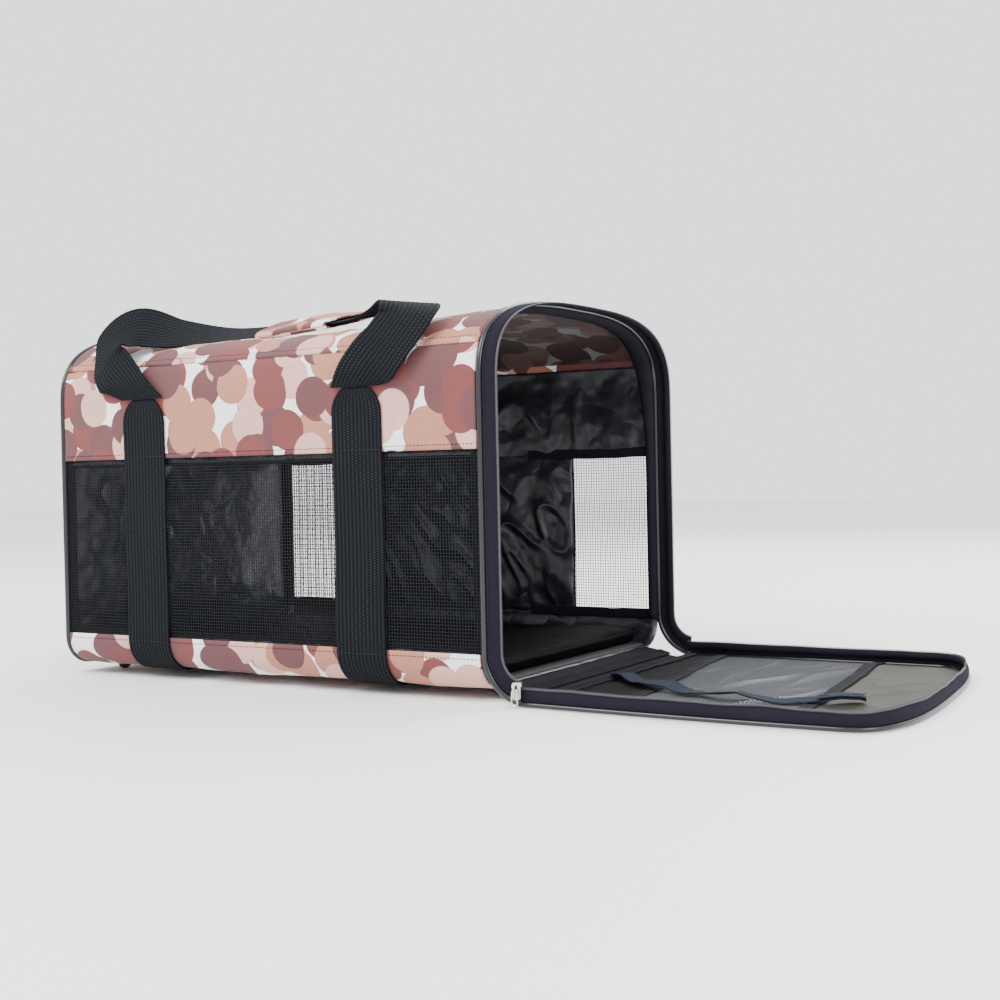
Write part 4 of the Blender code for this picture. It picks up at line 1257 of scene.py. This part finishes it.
# ---------------------------------------------------------------- webbing
NEAR_ROUTE = (
    ((-0.119, 0.1575, 0.2415), (1.0, 0.0, 0.0)),
    ((-0.138, 0.1610, 0.2565), (0.95, 0.0, -0.1)),
    ((-0.157, 0.1580, 0.2740), (0.85, 0.2, -0.25)),
    ((-0.160, 0.1510, 0.2930), (0.5, 0.5, -0.6)),
    ((-0.145, 0.1340, 0.3065), (0.2, 0.6, -0.75)),
    ((-0.118, 0.1150, 0.3010), (0.1, 0.8, -0.5)),
    ((-0.084, 0.0960, 0.2978), (0.0, 0.92, -0.34)),
    ((-0.043, 0.0850, 0.2990), (0.0, 1.0, -0.33)),
    ((0.003, 0.0800, 0.3035), (0.0, 1.0, -0.33)),
    ((0.045, 0.0820, 0.3040), (-0.1, 1.0, -0.24)),
    ((0.082, 0.0910, 0.3040), (-0.4, 0.9, -0.18)),
    ((0.114, 0.1070, 0.3060), (-0.75, 0.65, -0.05)),
    ((0.140, 0.1270, 0.3070), (-0.9, 0.4, 0.1)),
    ((0.152, 0.1480, 0.2960), (-1.0, 0.1, 0.2)),
    ((0.141, 0.1600, 0.2740), (-1.0, 0.0, 0.2)),
    ((0.124, 0.1620, 0.2560), (-1.0, 0.0, 0.1)),
    ((0.108, 0.1575, 0.2415), (-1.0, 0.0, 0.0)),
)
FAR_ROUTE = (
    ((-0.119, 0.1575, 0.2415), (1.0, 0.0, 0.0)),
    ((-0.116, 0.1630, 0.2640), (1.0, 0.0, 0.0)),
    ((-0.110, 0.1530, 0.2880), (1.0, 0.1, 0.0)),
    ((-0.096, 0.1260, 0.3035), (0.8, 0.5, -0.1)),
    ((-0.070, 0.0980, 0.3040), (0.4, 0.9, -0.2)),
    ((-0.030, 0.0830, 0.3040), (0.0, 1.0, -0.25)),
    ((0.010, 0.0830, 0.3050), (0.0, 1.0, -0.25)),
    ((0.042, 0.0950, 0.3110), (-0.35, 0.9, -0.25)),
    ((0.066, 0.1130, 0.3150), (-0.7, 0.65, -0.15)),
    ((0.092, 0.1370, 0.3100), (-1.0, 0.3, 0.0)),
    ((0.110, 0.1560, 0.2890), (-1.0, 0.0, 0.0)),
    ((0.110, 0.1630, 0.2640), (-1.0, 0.0, 0.0)),
    ((0.108, 0.1575, 0.2415), (-1.0, 0.0, 0.0)),
)
SQUARED_FROM = 0.10
WRAP_SPAN = (0.447, 0.566)
STRAP_TOP_Z = 0.2432


def curve_at(points, shares):
    """Points on the smooth curve through a list of points, at shares of it."""
    points = np.asarray(points, float)
    last = len(points) - 1
    place = np.clip(np.asarray(shares, float), 0, 1) * last
    index = np.minimum(place.astype(int), last - 1)
    t = (place - index)[:, None]
    a = points[np.maximum(index - 1, 0)]
    b = points[index]
    c = points[index + 1]
    d = points[np.minimum(index + 2, last)]
    square = 2 * a - 5 * b + 4 * c - d
    cube = 3 * b - 3 * c + d - a
    return 0.5 * (2 * b + (c - a) * t + square * t**2 + cube * t**3)


def handle_line(route, side, shares):
    """A handle's middle line and its sideways direction, at shares of its route."""
    centres = [(MIDDLE_X + x, side * y, z) for (x, y, z), _ in route]
    acrosses = [(x, side * y, z) for _, (x, y, z) in route]
    middle = curve_at(centres, shares)
    ahead = curve_at(centres, shares + 0.004) - curve_at(centres, shares - 0.004)
    ahead = unit(ahead)
    across = curve_at(acrosses, shares)
    across = unit(across)
    square = np.minimum(1, np.minimum(shares, 1 - shares) / SQUARED_FROM)[:, None]
    across = across - ahead * (across * ahead).sum(axis=1, keepdims=True) * square
    across = unit(across)
    return middle, across, np.cross(across, ahead)


class CARRIER_OT_straps_and_handles(bpy.types.Operator):
    """Lays the ribbed webbing: two straps round the body, and the two handles"""

    bl_idname = "carrier.straps_and_handles"
    bl_label = "Straps and handles"

    def execute(self, context):
        sizes = context.scene.carrier_sizes
        seams = Bundle()
        for name, x in (("back", BACK_STRAP_X), ("front", FRONT_STRAP_X)):
            self.body_strap(name, x, sizes, seams)
        settle(seams.make("strap_stitches"), "black_stitch")
        shares = np.linspace(0, 1, 260)
        for name, route, side in (("near", NEAR_ROUTE, -1), ("far", FAR_ROUTE, 1)):
            middle, across, _ = handle_line(route, side, shares)
            obj = ribbon(f"{name}_handle_webbing", middle, across, WEBBING_WIDTH, WEBBING,
                         sizes.webbing_ribs, sizes.rib_height)
            settle(obj, "webbing", f"{name}_handle", [f"{name}_handle"])
        return {"FINISHED"}

    def body_strap(self, name, x, sizes, seams):
        """One length of webbing up both sides and under the body, with rounded folds at its tops."""
        out = WEBBING / 2 + GAP
        wall = HALF_WIDTH + out
        top = np.array([(wall - 0.0010, STRAP_TOP_Z), (wall + 0.0006, STRAP_TOP_Z - 0.004),
                        (wall + 0.0004, STRAP_TOP_Z - 0.012), (wall, STRAP_TOP_Z - 0.030)])
        half = np.vstack([top, lower_corner(-out, 1, 10)])
        line = resample(np.vstack([half * (-1, 1), half[::-1]]), 420)
        path = np.column_stack([np.full(len(line), x), line])
        bow = ripples(path, 0.09, x * 50) * 0.0006
        path[:, 0] += bow
        place = run_along(line)
        end = np.minimum(place, place[-1] - place)
        corner = 0.023
        round_off = np.sqrt(1 - (1 - np.minimum(end / corner, 1)) ** 2)
        widths = np.where(end < corner, 0.10 + 0.90 * round_off, 1.0)
        across = np.tile((1.0, 0.0, 0.0), (len(path), 1))
        obj = ribbon(f"{name}_strap_webbing", path, across, WEBBING_WIDTH, WEBBING,
                     sizes.webbing_ribs, sizes.rib_height, widths)
        settle(obj, "webbing", nodes=[f"{name}_body_strap"])
        for side in (-1, 1):
            for height in (BAND_Z + 0.002, WINDOW_Z - 0.004):
                row = np.linspace(x - 0.0225, x + 0.0225, 30)
                face = side * (wall + WEBBING / 2)
                stitch = np.column_stack([row, np.full(30, face), np.full(30, height)])
                seams.seam(stitch, np.tile((0.0, float(side), 0.0), (30, 1)), sizes)


class CARRIER_OT_handle_wrap(bpy.types.Operator):
    """Closes the printed sleeve round the middle of the near handle"""

    bl_idname = "carrier.handle_wrap"
    bl_label = "Handle sleeve"

    def execute(self, context):
        sizes = context.scene.carrier_sizes
        shares = np.linspace(*WRAP_SPAN, 60)
        middle, across, normal = handle_line(NEAR_ROUTE, -1, shares)
        turn = np.linspace(0, 2 * math.pi, 64, endpoint=False)
        flare = 1 + 0.10 * (1 - hump(np.linspace(0, 1, 60))) ** 3
        wide = (WEBBING_WIDTH / 2 + 0.0018) * flare
        thick = WEBBING / 2 + 0.0026 + 0.0007 * ripples(middle, 0.03, 5.0)
        side = boxed(np.cos(turn), 0.35)
        lift = boxed(np.sin(turn), 0.6)
        points = (middle[:, None] + across[:, None] * (side[None] * wide[:, None])[..., None]
                  + normal[:, None] * (lift[None] * thick[:, None])[..., None])
        swell = ripples(points, 0.020, 11.0) * 0.0005
        points = points + normal[:, None] * (swell * np.sign(lift)[None])[..., None]
        girth = np.linalg.norm(np.diff(points, axis=1, append=points[:, :1]), axis=-1).mean(axis=0)
        round_it = np.concatenate([[0.0], np.cumsum(girth)[:-1]])
        length = run_along(middle)
        places = np.stack(grid_of(length, round_it), axis=-1)
        obj = mesh_piece("handle_sleeve", points, grid_faces(60, 64, False, True), places)
        thicken(obj, CLOTH)
        settle(obj, "print_wrap", "near_handle", ["handle_wrap"])
        seams = Bundle()
        for row in (3, 56):
            ring = np.vstack([points[row], points[row, :1]])
            away = ring - middle[row]
            away = unit(away)
            seams.seam(ring + away * CLOTH / 2, away, sizes)
        settle(seams.make("sleeve_stitches"), "stitch", "near_handle")
        return {"FINISHED"}


# ---------------------------------------------------------------- the door, lying open
FIRST_SEAM = (0.078, 0.034)
SECOND_SEAM = (0.206, 0.176)
BINDING_WIDTH = 0.011
TIE_ROUTE = (
    (0.010, -0.012), (0.050, -0.055), (0.100, -0.085), (0.150, -0.098), (0.200, -0.088), (0.232, -0.075),
)


def door_reach(y, inset):
    """Distance from the hinge of the door's rounded end, at y."""
    share = np.clip(np.abs(y) / (HALF_WIDTH - inset), 0, 1)
    length = DOOR_LENGTH - inset - ARCH_START_Z
    return (ARCH_START_Z + length * (1 - share**ARCH_POWER) ** (1 / ARCH_POWER)) * door_askew(y)


def door_height(reach, y, folds):
    """Height of the door's cloth where it lies: flat by its seams and rim, waving between them."""
    points = spread(reach, y, np.zeros_like(reach))
    side = np.clip((HALF_WIDTH - 0.008 - np.abs(points[..., 1])) / 0.030, 0, 1)
    end = np.clip((door_reach(points[..., 1], 0.006) - points[..., 0]) / 0.030, 0, 1)
    hinge = np.clip(points[..., 0] / 0.03, 0, 1)
    free = (side * end * hinge) ** 0.8
    turned = points @ np.array([(0.9, 0.5, 0.0), (-0.35, 0.6, 0.0), (0.0, 0.0, 1.0)])
    broad = ripples(points, 0.065, 51.0, 1) * 0.5 + 0.45
    folded = creases(turned * (1.0, 0.5, 1.0), 0.034, 7.0)
    tip = np.clip((points[..., 0] - 0.19) / 0.05, 0, 1)
    return DOOR_Z - 0.0004 + free * folds * (np.clip(broad, 0, 1) * 0.8 + folded * (0.35 + 0.6 * tip))


def door_strip(first, last, inset, columns, rows, folds):
    """Grid of points of one of the door's panels, between two distances from the hinge."""
    y = np.linspace(-(HALF_WIDTH - inset), HALF_WIDTH - inset, columns)
    share = np.linspace(0, 1, rows)[None]
    start, end = first(y)[:, None], last(y)[:, None]
    reach = start + (end - start) * share
    across = np.broadcast_to(y[:, None], reach.shape)
    return spread(HINGE_X + reach, across, door_height(reach, across, folds))


class CARRIER_OT_door_panels(bpy.types.Operator):
    """Lays out the door: its coated panels, its mesh, the tapes over its seams and its tie"""

    bl_idname = "carrier.door_panels"
    bl_label = "Door panels"

    def execute(self, context):
        sizes = context.scene.carrier_sizes
        folds = sizes.door_folds
        low = door_strip(lambda y: np.full_like(y, 0.002), lambda y: seam_reach(*FIRST_SEAM, y), 0.0050,
                         150, 46, folds)
        obj = cloth("door_lower_cloth", low, CLOTH)
        settle(obj, "door_dark", "door", ["door_lower_panel"])
        declare_cloth(low)
        tip = door_strip(lambda y: seam_reach(*SECOND_SEAM, y), lambda y: door_reach(y, 0.0042), 0.0050,
                         170, 70, folds)
        obj = cloth("door_tip_cloth", tip, CLOTH, (0.4, 0.2))
        settle(obj, "taupe", "door", ["door_tip_panel"])
        declare_cloth(tip)
        width = 2 * (HALF_WIDTH - 0.0060)
        near, far = (FIRST_SEAM[0] + FIRST_SEAM[1]) / 2, (SECOND_SEAM[0] + SECOND_SEAM[1]) / 2

        def window(along, across):
            y = along - width / 2
            share = across / (far - near)
            start, end = seam_reach(*FIRST_SEAM, y), seam_reach(*SECOND_SEAM, y)
            reach = start + (end - start) * share
            height = door_height(reach, y, folds * 1.25)
            return spread(HINGE_X + reach, y, height)

        obj = thread_mesh("door_mesh_threads", window, width, far - near, sizes)
        settle(obj, "door_mesh", "door", ["door_mesh_window"])
        seams = Bundle()
        for name, seam in (("first", FIRST_SEAM), ("second", SECOND_SEAM)):
            y = np.linspace(-(HALF_WIDTH - 0.0075), HALF_WIDTH - 0.0075, 120)
            reach = seam_reach(*seam, y)
            path = np.column_stack([HINGE_X + reach, y, door_height(reach, y, folds) + 0.0016])
            path[:, 0] += ripples(path, 0.05, len(name)) * 0.0012
            self.tape(f"door_{name}_tape", path, BINDING_WIDTH, f"door_{name}_binding", seams, sizes)
        y = np.linspace(-0.140, 0.140, 110)
        path = np.column_stack([np.full_like(y, HINGE_X + 0.0085), y, np.full_like(y, DOOR_Z + 0.0018)])
        path[:, 2] += np.abs(ripples(path, 0.03, 4.0)) * 0.0010
        self.tape("door_hinge_tape", path, 0.0095, "door_hinge_binding", seams, sizes)
        settle(seams.make("door_tape_stitches"), "black_stitch", "door")
        self.make_tie(sizes, folds)
        return {"FINISHED"}

    def tape(self, name, path, width, node, seams, sizes):
        across = unit(np.cross(np.gradient(path, axis=0), (0.0, 0.0, 1.0)))
        obj = ribbon(name, path, across, width, 0.0013)
        settle(obj, "tape", "door", [node])
        up = np.tile((0.0, 0.0, 1.0), (len(path), 1))
        seams.seam(path + across * (width / 2 - 0.0018) + up * 0.0006, up, sizes)

    def make_tie(self, sizes, folds):
        """The loose strap: sewn at the hinge and lying over the door in slack waves."""
        line = smooth_curve([(x, y, 0.0) for x, y in TIE_ROUTE], 200)
        place = np.linspace(0, 1, 200)
        slack = hump(place) ** 0.5 * (0.5 + 0.5 * np.sin(place * 21.0 + 0.6)) * 0.0042
        height = door_height(line[:, 0], line[:, 1], folds) + 0.0034 + slack
        path = np.column_stack([HINGE_X + line[:, 0], line[:, 1], height])
        across = unit(np.cross(np.gradient(path, axis=0), (0.0, 0.0, 1.0)))
        tilt = np.sin(place * 13.0) * 0.16 * hump(place)
        across[:, 2] += tilt
        obj = ribbon("door_tie_webbing", path, across, 0.015, 0.0013, 5, 0.00016)
        settle(obj, "tie", "door", ["door_tie_strap"])
        tab = path[-26:] + (0.0, 0.0, 0.0016)
        patch = ribbon("door_tie_end", tab, across[-26:] * (1, 1, 0), 0.0158, 0.0012, 5, 0.00014)
        settle(patch, "tie", "door")
        square = Bundle()
        up = np.array([(0.0, 0.0, 1.0)])
        corner = [tab[index] + across[index] * (1, 1, 0) * side + up[0] * 0.0008
                  for index, side in ((3, -0.0056), (3, 0.0056), (22, 0.0056), (22, -0.0056))]
        for a, b in ((0, 1), (1, 2), (2, 3), (3, 0), (0, 2), (1, 3)):
            row = np.linspace(corner[a], corner[b], 12)
            square.seam(row, np.tile(up, (12, 1)), sizes)
        settle(square.make("door_tie_stitches"), "stitch", "door")


class CARRIER_OT_door_rim(bpy.types.Operator):
    """Stands up the door's gusset and zip half round the door's edge"""

    bl_idname = "carrier.door_rim"
    bl_label = "Door rim"

    def execute(self, context):
        sizes = context.scene.carrier_sizes
        outline = resample(door_outline(PIPING_INSET, -0.0015), 420)
        ahead = np.gradient(outline, axis=0)
        normal = np.column_stack([-ahead[:, 1], ahead[:, 0]])
        normal = unit(normal)
        inward = np.where((normal * ((HINGE_X + 0.1, 0.0) - outline)).sum(axis=1) < 0, -1.0, 1.0)
        inward = normal * inward[:, None]

        def line(move, height):
            flat = outline + inward * np.asarray(move)[..., None]
            return np.column_stack([flat, np.broadcast_to(height, len(flat))])

        wave = ripples(line(0.0, 0.0), 0.045, 3.0)
        away = np.column_stack([-inward, np.zeros(len(outline))])
        rows = []
        for share in np.linspace(0, 1, 9):
            height = DOOR_PIPING_RADIUS + 0.0020 + (RIM_TOP - 0.0042) * share
            lean = 0.0002 + share * share * (0.0014 + 0.0014 * wave)
            rows.append(line(lean - 0.0008 * float(hump(share)), height + share * wave * 0.0006))
        gusset = cloth("door_rim_cloth", np.stack(rows, axis=1), 0.0012)
        self.bend(gusset, "gusset", "gusset_fabric", ["door_gusset"])
        top = rows[-1]
        tape = np.stack([top + (0.0, 0.0, -0.0040) - away * 0.0011,
                         top + (0.0, 0.0, 0.0014) - away * 0.0009], axis=1)
        self.bend(cloth("door_rim_tape", tape, 0.0006), "zip_tape", "gusset_fabric")
        fold = tube("door_rim_fold", top + away * 0.0002, 0.0007, 8)
        self.bend(fold, "gusset", "gusset_fabric")
        teeth, core = zip_half("door_rim_teeth", top + (0.0, 0.0, 0.0002), top + (0.0, 0.0, 0.0029), away,
                               sizes)
        self.bend(teeth, "coil", "zip_coil", ["door_zip_coil"])
        self.bend(core, "coil", "zip_coil")
        foot = tube("door_piping_cord", line(0.0, DOOR_Z), DOOR_PIPING_RADIUS * 0.95, 12)
        self.bend(foot, "piping", "piping_vinyl", ["door_piping"])
        return {"FINISHED"}

    def bend(self, obj, finish, slot, nodes=()):
        """Bakes the piece's modifiers and place, gives it its material and hides the frame's solids; it rides
        on no body.
        """
        bake_modifiers(obj)
        settle(obj, finish, None, nodes)
        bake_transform(obj)


# ---------------------------------------------------------------- mat, base, feet and slider
class CARRIER_OT_mat_and_base(bpy.types.Operator):
    """Fills the padded floor mat with a cloth simulation, and sets the board and feet under it"""

    bl_idname = "carrier.mat_and_base"
    bl_label = "Mat, board and feet"

    def execute(self, context):
        low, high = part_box("floor_mat")
        source = bpy.data.objects[frame["nodes"]["floor_mat"].name]
        pad = bpy.data.objects.new("floor_mat_pad", source.data.copy())
        context.scene.collection.objects.link(pad)
        self.inflate(context, pad)
        settle(pad, "mat", "floor_mat", ["floor_mat"])
        edge = 0.0040
        loop = []
        for x, y, start in ((high[0], high[1], 0), (low[0], high[1], 90), (low[0], low[1], 180),
                            (high[0], low[1], 270)):
            middle_x = x - edge * 2 if x == high[0] else x + edge * 2
            middle_y = y - edge * 2 if y == high[1] else y + edge * 2
            turn = np.radians(np.linspace(start, start + 90, 7))
            loop += [(middle_x + edge * 2 * math.cos(t), middle_y + edge * 2 * math.sin(t)) for t in turn]
        flat = resample_loop(np.array(loop), 300)
        middle = high[2] - 0.0035
        path = np.column_stack([flat, np.full(len(flat), middle)])
        path[:, 2] += ripples(path, 0.06, 8.0) * 0.0012
        cord = tube("floor_mat_piping", path, 0.0019, 10, closed=True)
        settle(cord, "mat", "floor_mat")
        board = bpy.data.objects[frame["nodes"]["base_board"].name]
        for slot in board.material_slots:
            slot.material = FINISHES["board"]
        for name in ("foot_back_near", "foot_back_far", "foot_front_near", "foot_front_far"):
            low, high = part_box(name)
            self.make_foot(name, (low + high) / 2, (high[0] - low[0]) / 2, high[2])
        return {"FINISHED"}

    def inflate(self, context, pad):
        """Pumps the remeshed pad up a little, with its points held close to where they began."""
        remesh = pad.modifiers.new("even", "REMESH")
        remesh.mode = "VOXEL"
        remesh.voxel_size = 0.0050
        bake_modifiers(pad)
        points = np.empty(len(pad.data.vertices) * 3)
        pad.data.vertices.foreach_get("co", points)
        before = points.reshape(-1, 3).copy()
        soft = pad.modifiers.new("soft", "CLOTH")
        soft.settings.use_pressure = True
        soft.settings.uniform_pressure_force = 4.0
        soft.settings.effector_weights.gravity = 0.0
        soft.settings.quality = 5
        soft.point_cache.frame_start = 1
        soft.point_cache.frame_end = 20
        for number in range(1, 21):
            context.scene.frame_set(number)
        bake_modifiers(pad)
        context.scene.frame_set(1)
        pad.data.vertices.foreach_get("co", points)
        moved = points.reshape(-1, 3) - before
        far = np.linalg.norm(moved, axis=1, keepdims=True)
        moved *= np.minimum(1.0, 0.0024 / np.maximum(far, 1e-9))
        dimples = ripples(before, 0.055, 61.0) * 0.0016 + ripples(before, 0.020, 3.0) * 0.0005
        above = before[:, 2] > before[:, 2].mean()
        moved[:, 2] += np.where(above, dimples, 0.0)
        pad.data.vertices.foreach_set("co", (before + moved).ravel())
        smooth = pad.modifiers.new("smooth", "SUBSURF")
        smooth.levels = 1
        bake_modifiers(pad)
        pad.data.shade_smooth()

    def make_foot(self, name, middle, radius, height):
        """A domed stud under a thin flange, turned on its own axis."""
        turn = np.linspace(0, np.pi / 2, 9)
        profile = [(radius * 1.25, height), (radius * 1.25, height - 0.0008), (radius, height - 0.0014)]
        profile += [(radius * 0.96 * math.cos(t), (height - 0.0018) * (1 - math.sin(t)))
                    for t in turn[:-1]]
        sides = np.linspace(0, 2 * np.pi, 33)[:-1]
        points = [[(middle[0] + r * math.cos(s), middle[1] + r * math.sin(s), z) for s in sides]
                  for r, z in profile]
        faces = [list(face)[::-1] for face in grid_faces(len(profile), 32, False, True)]
        faces.append(list(range(32)))
        faces.append(list(range((len(profile) - 1) * 32, len(profile) * 32))[::-1])
        obj = mesh_piece(f"{name}_stud", points, faces)
        settle(obj, "foot", nodes=[name])


class CARRIER_OT_slider(bpy.types.Operator):
    """Threads the zip's slider, its bow and its pull"""

    bl_idname = "carrier.slider"
    bl_label = "Zip slider"

    def execute(self, context):
        low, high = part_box("zip_slider")
        middle = (low + high) / 2
        work = bmesh.new()
        half, tall, thick = (high - low) / 2
        plan = [(-0.62, -1.0), (0.62, -1.0), (0.86, -0.72), (0.86, 0.25), (1.0, 0.62), (0.72, 1.0),
                (-0.72, 1.0), (-1.0, 0.62), (-0.86, 0.25), (-0.86, -0.72)]
        for start, end in ((low[1], low[1] + 0.0009), (high[1] - 0.0009, high[1] + 0.0006)):
            rings = []
            for y in (start, end):
                rings.append([work.verts.new((middle[0] + a * half, y, middle[2] + b * thick))
                              for a, b in plan])
            count = len(plan)
            work.faces.new(rings[0])
            work.faces.new(rings[1][::-1])
            for index in range(count):
                after = (index + 1) % count
                work.faces.new((rings[0][after], rings[0][index], rings[1][index], rings[1][after]))
        neck = bmesh.ops.create_cube(work, size=1.0)["verts"]
        bmesh.ops.scale(work, vec=(half * 0.7, tall * 2, thick * 0.7), verts=neck)
        bmesh.ops.translate(work, vec=middle + Vector((0, 0, thick * 0.45)), verts=neck)
        bmesh.ops.recalc_face_normals(work, faces=work.faces)
        mesh = bpy.data.meshes.new("slider_plates")
        work.to_mesh(mesh)
        work.free()
        obj = bpy.data.objects.new("slider_plates", mesh)
        context.scene.collection.objects.link(obj)
        soft = obj.modifiers.new("edges", "BEVEL")
        soft.width = 0.00032
        soft.segments = 3
        mesh.shade_smooth()
        settle(obj, "nickel", "zip_slider", ["zip_slider"])
        bow_low, bow_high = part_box("slider_bow")
        turn = np.linspace(0, np.pi, 30)
        wire = 0.0007
        reach = (bow_high[2] - bow_low[2]) / 2 - wire
        rise = low[1] - bow_low[1] - wire
        centre = (bow_high[2] + bow_low[2]) / 2
        bow = np.column_stack([np.full(30, middle[0]), low[1] + 0.0004 - np.sin(turn) ** 0.7 * rise,
                               centre + np.cos(turn) * reach])
        settle(tube("slider_bow_wire", bow, wire, 12), "nickel", "zip_slider", ["slider_bow"])
        low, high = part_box("pull_tab")
        wire = 0.0006
        y = (low[1] + high[1]) / 2
        wide, top, foot = (high[0] - low[0]) / 2 - wire, high[2] - wire, low[2] + wire
        turn = np.linspace(0, 2 * np.pi, 81)[:-1]
        across = boxed(np.cos(turn), 0.5)
        upward = boxed(np.sin(turn), 0.5)
        loop = np.column_stack([middle[0] + across * wide * (0.95 - 0.12 * upward), np.full(80, y),
                                (top + foot) / 2 + upward * (top - foot) / 2])
        loop = resample_loop(loop, 96)
        settle(tube("slider_pull_ring", loop, wire, 12, closed=True), "nickel", "pull_tab",
               ["pull_tab"])
        return {"FINISHED"}


# ---------------------------------------------------------------- stage
FLOOR_REACH = 6.0
LIT_POINT = (-0.05, 0.0, 0.12)
# Each lamp's name, place, diameter and power in watts.
LAMPS = (
    ("key_light", (-0.9, -1.5, 1.9), 1.6, 66.0),
    ("fill_light", (1.7, -0.6, 1.3), 1.4, 25.0),
    ("back_light", (0.2, 1.6, 1.6), 1.6, 44.0),
)
# The camera's turn and tilt in degrees, and how far it leans for each metre across.
CAMERA_YAW = 120.66
CAMERA_PITCH = -0.75
CAMERA_LEAN = 0.0211


class CARRIER_OT_stage(bpy.types.Operator):
    """Sets a pale floor, soft lights and a camera"""

    bl_idname = "carrier.stage"
    bl_label = "Stage"

    def execute(self, context):
        scene = context.scene
        mesh = bpy.data.meshes.new("floor")
        corners = ((-1, -1), (1, -1), (1, 1), (-1, 1))
        mesh.from_pydata([(FLOOR_REACH * x, FLOOR_REACH * y, 0) for x, y in corners], [], [(0, 1, 2, 3)])
        floor = bpy.data.objects.new("floor", mesh)
        floor.location.z = -0.0003
        scene.collection.objects.link(floor)
        finish = Finish("floor", Roughness=0.6, Specular_IOR_Level=0.3)
        finish.colour((0.90, 0.90, 0.90))
        mesh.materials.append(finish.material)
        world = bpy.data.worlds.new("studio")
        world.use_nodes = True
        back = world.node_tree.nodes["Background"]
        back.inputs["Color"].default_value = (0.97, 0.98, 1.0, 1.0)
        back.inputs["Strength"].default_value = 1.95
        scene.world = world
        for name, place, size, power in LAMPS:
            lamp = bpy.data.lights.new(name, "AREA")
            lamp.shape = "DISK"
            lamp.size = size
            lamp.energy = power
            light = bpy.data.objects.new(name, lamp)
            light.location = place
            aim = Vector(LIT_POINT) - light.location
            light.rotation_euler = aim.to_track_quat("-Z", "Y").to_euler()
            scene.collection.objects.link(light)
        lens = bpy.data.cameras.new("camera")
        lens.lens = 51.7
        lens.sensor_width = 36.0
        lens.shift_x = -0.012
        lens.shift_y = -0.010
        lens.clip_start = 0.01
        camera = bpy.data.objects.new("camera", lens)
        yaw, pitch = math.radians(CAMERA_YAW), math.radians(CAMERA_PITCH)
        ahead = Vector((math.cos(yaw) * math.cos(pitch), math.sin(yaw) * math.cos(pitch), math.sin(pitch)))
        right = ahead.cross((0.0, 0.0, 1.0)).normalized()
        upward = right.cross(ahead)
        right, upward = ((right - upward * CAMERA_LEAN).normalized(),
                         (upward + right * CAMERA_LEAN).normalized())
        camera.matrix_world = Matrix((right, upward, -ahead)).transposed().to_4x4()
        camera.location = (MIDDLE_X + 0.78305, -1.059, 0.173)
        scene.collection.objects.link(camera)
        scene.camera = camera
        return {"FINISHED"}


class CARRIER_OT_finishes(bpy.types.Operator):
    """Mixes the materials of the cloths, webbing, vinyl and metal"""

    bl_idname = "carrier.finishes"
    bl_label = "Finishes"

    def execute(self, context):
        FINISHES.update(make_finishes(context.scene.carrier_colours, context.scene.carrier_sizes))
        return {"FINISHED"}


class CARRIER_PT_panel(bpy.types.Panel):
    """The carrier's sizes and colours, and a button for each group of pieces"""

    bl_label = "Soft pet carrier"
    bl_idname = "CARRIER_PT_panel"
    bl_space_type = "VIEW_3D"
    bl_region_type = "UI"
    bl_category = "Carrier"

    def draw(self, context):
        for settings in (context.scene.carrier_sizes, context.scene.carrier_colours):
            column = self.layout.column(align=True)
            for name in settings.__annotations__:
                column.prop(settings, name)
        buttons = self.layout.column()
        for operator in OPERATORS:
            buttons.operator(operator.bl_idname)


# ---------------------------------------------------------------- running it
OPERATORS = (
    CARRIER_OT_finishes,
    CARRIER_OT_printed_panels,
    CARRIER_OT_linings,
    CARRIER_OT_mesh_windows,
    CARRIER_OT_piping_and_channels,
    CARRIER_OT_mouth,
    CARRIER_OT_straps_and_handles,
    CARRIER_OT_handle_wrap,
    CARRIER_OT_door_panels,
    CARRIER_OT_door_rim,
    CARRIER_OT_mat_and_base,
    CARRIER_OT_slider,
    CARRIER_OT_stage,
)
CLASSES = (CarrierSizes, CarrierColours, *OPERATORS, CARRIER_PT_panel)


def register():
    for found in CLASSES:
        bpy.utils.register_class(found)
    bpy.types.Scene.carrier_sizes = PointerProperty(type=CarrierSizes)
    bpy.types.Scene.carrier_colours = PointerProperty(type=CarrierColours)


def unregister():
    del bpy.types.Scene.carrier_colours
    del bpy.types.Scene.carrier_sizes
    for found in reversed(CLASSES):
        bpy.utils.unregister_class(found)


def main():
    register()
    for operator in OPERATORS:
        group, name = operator.bl_idname.split(".")
        getattr(getattr(bpy.ops, group), name)()


if __name__ == "__main__":
    main()
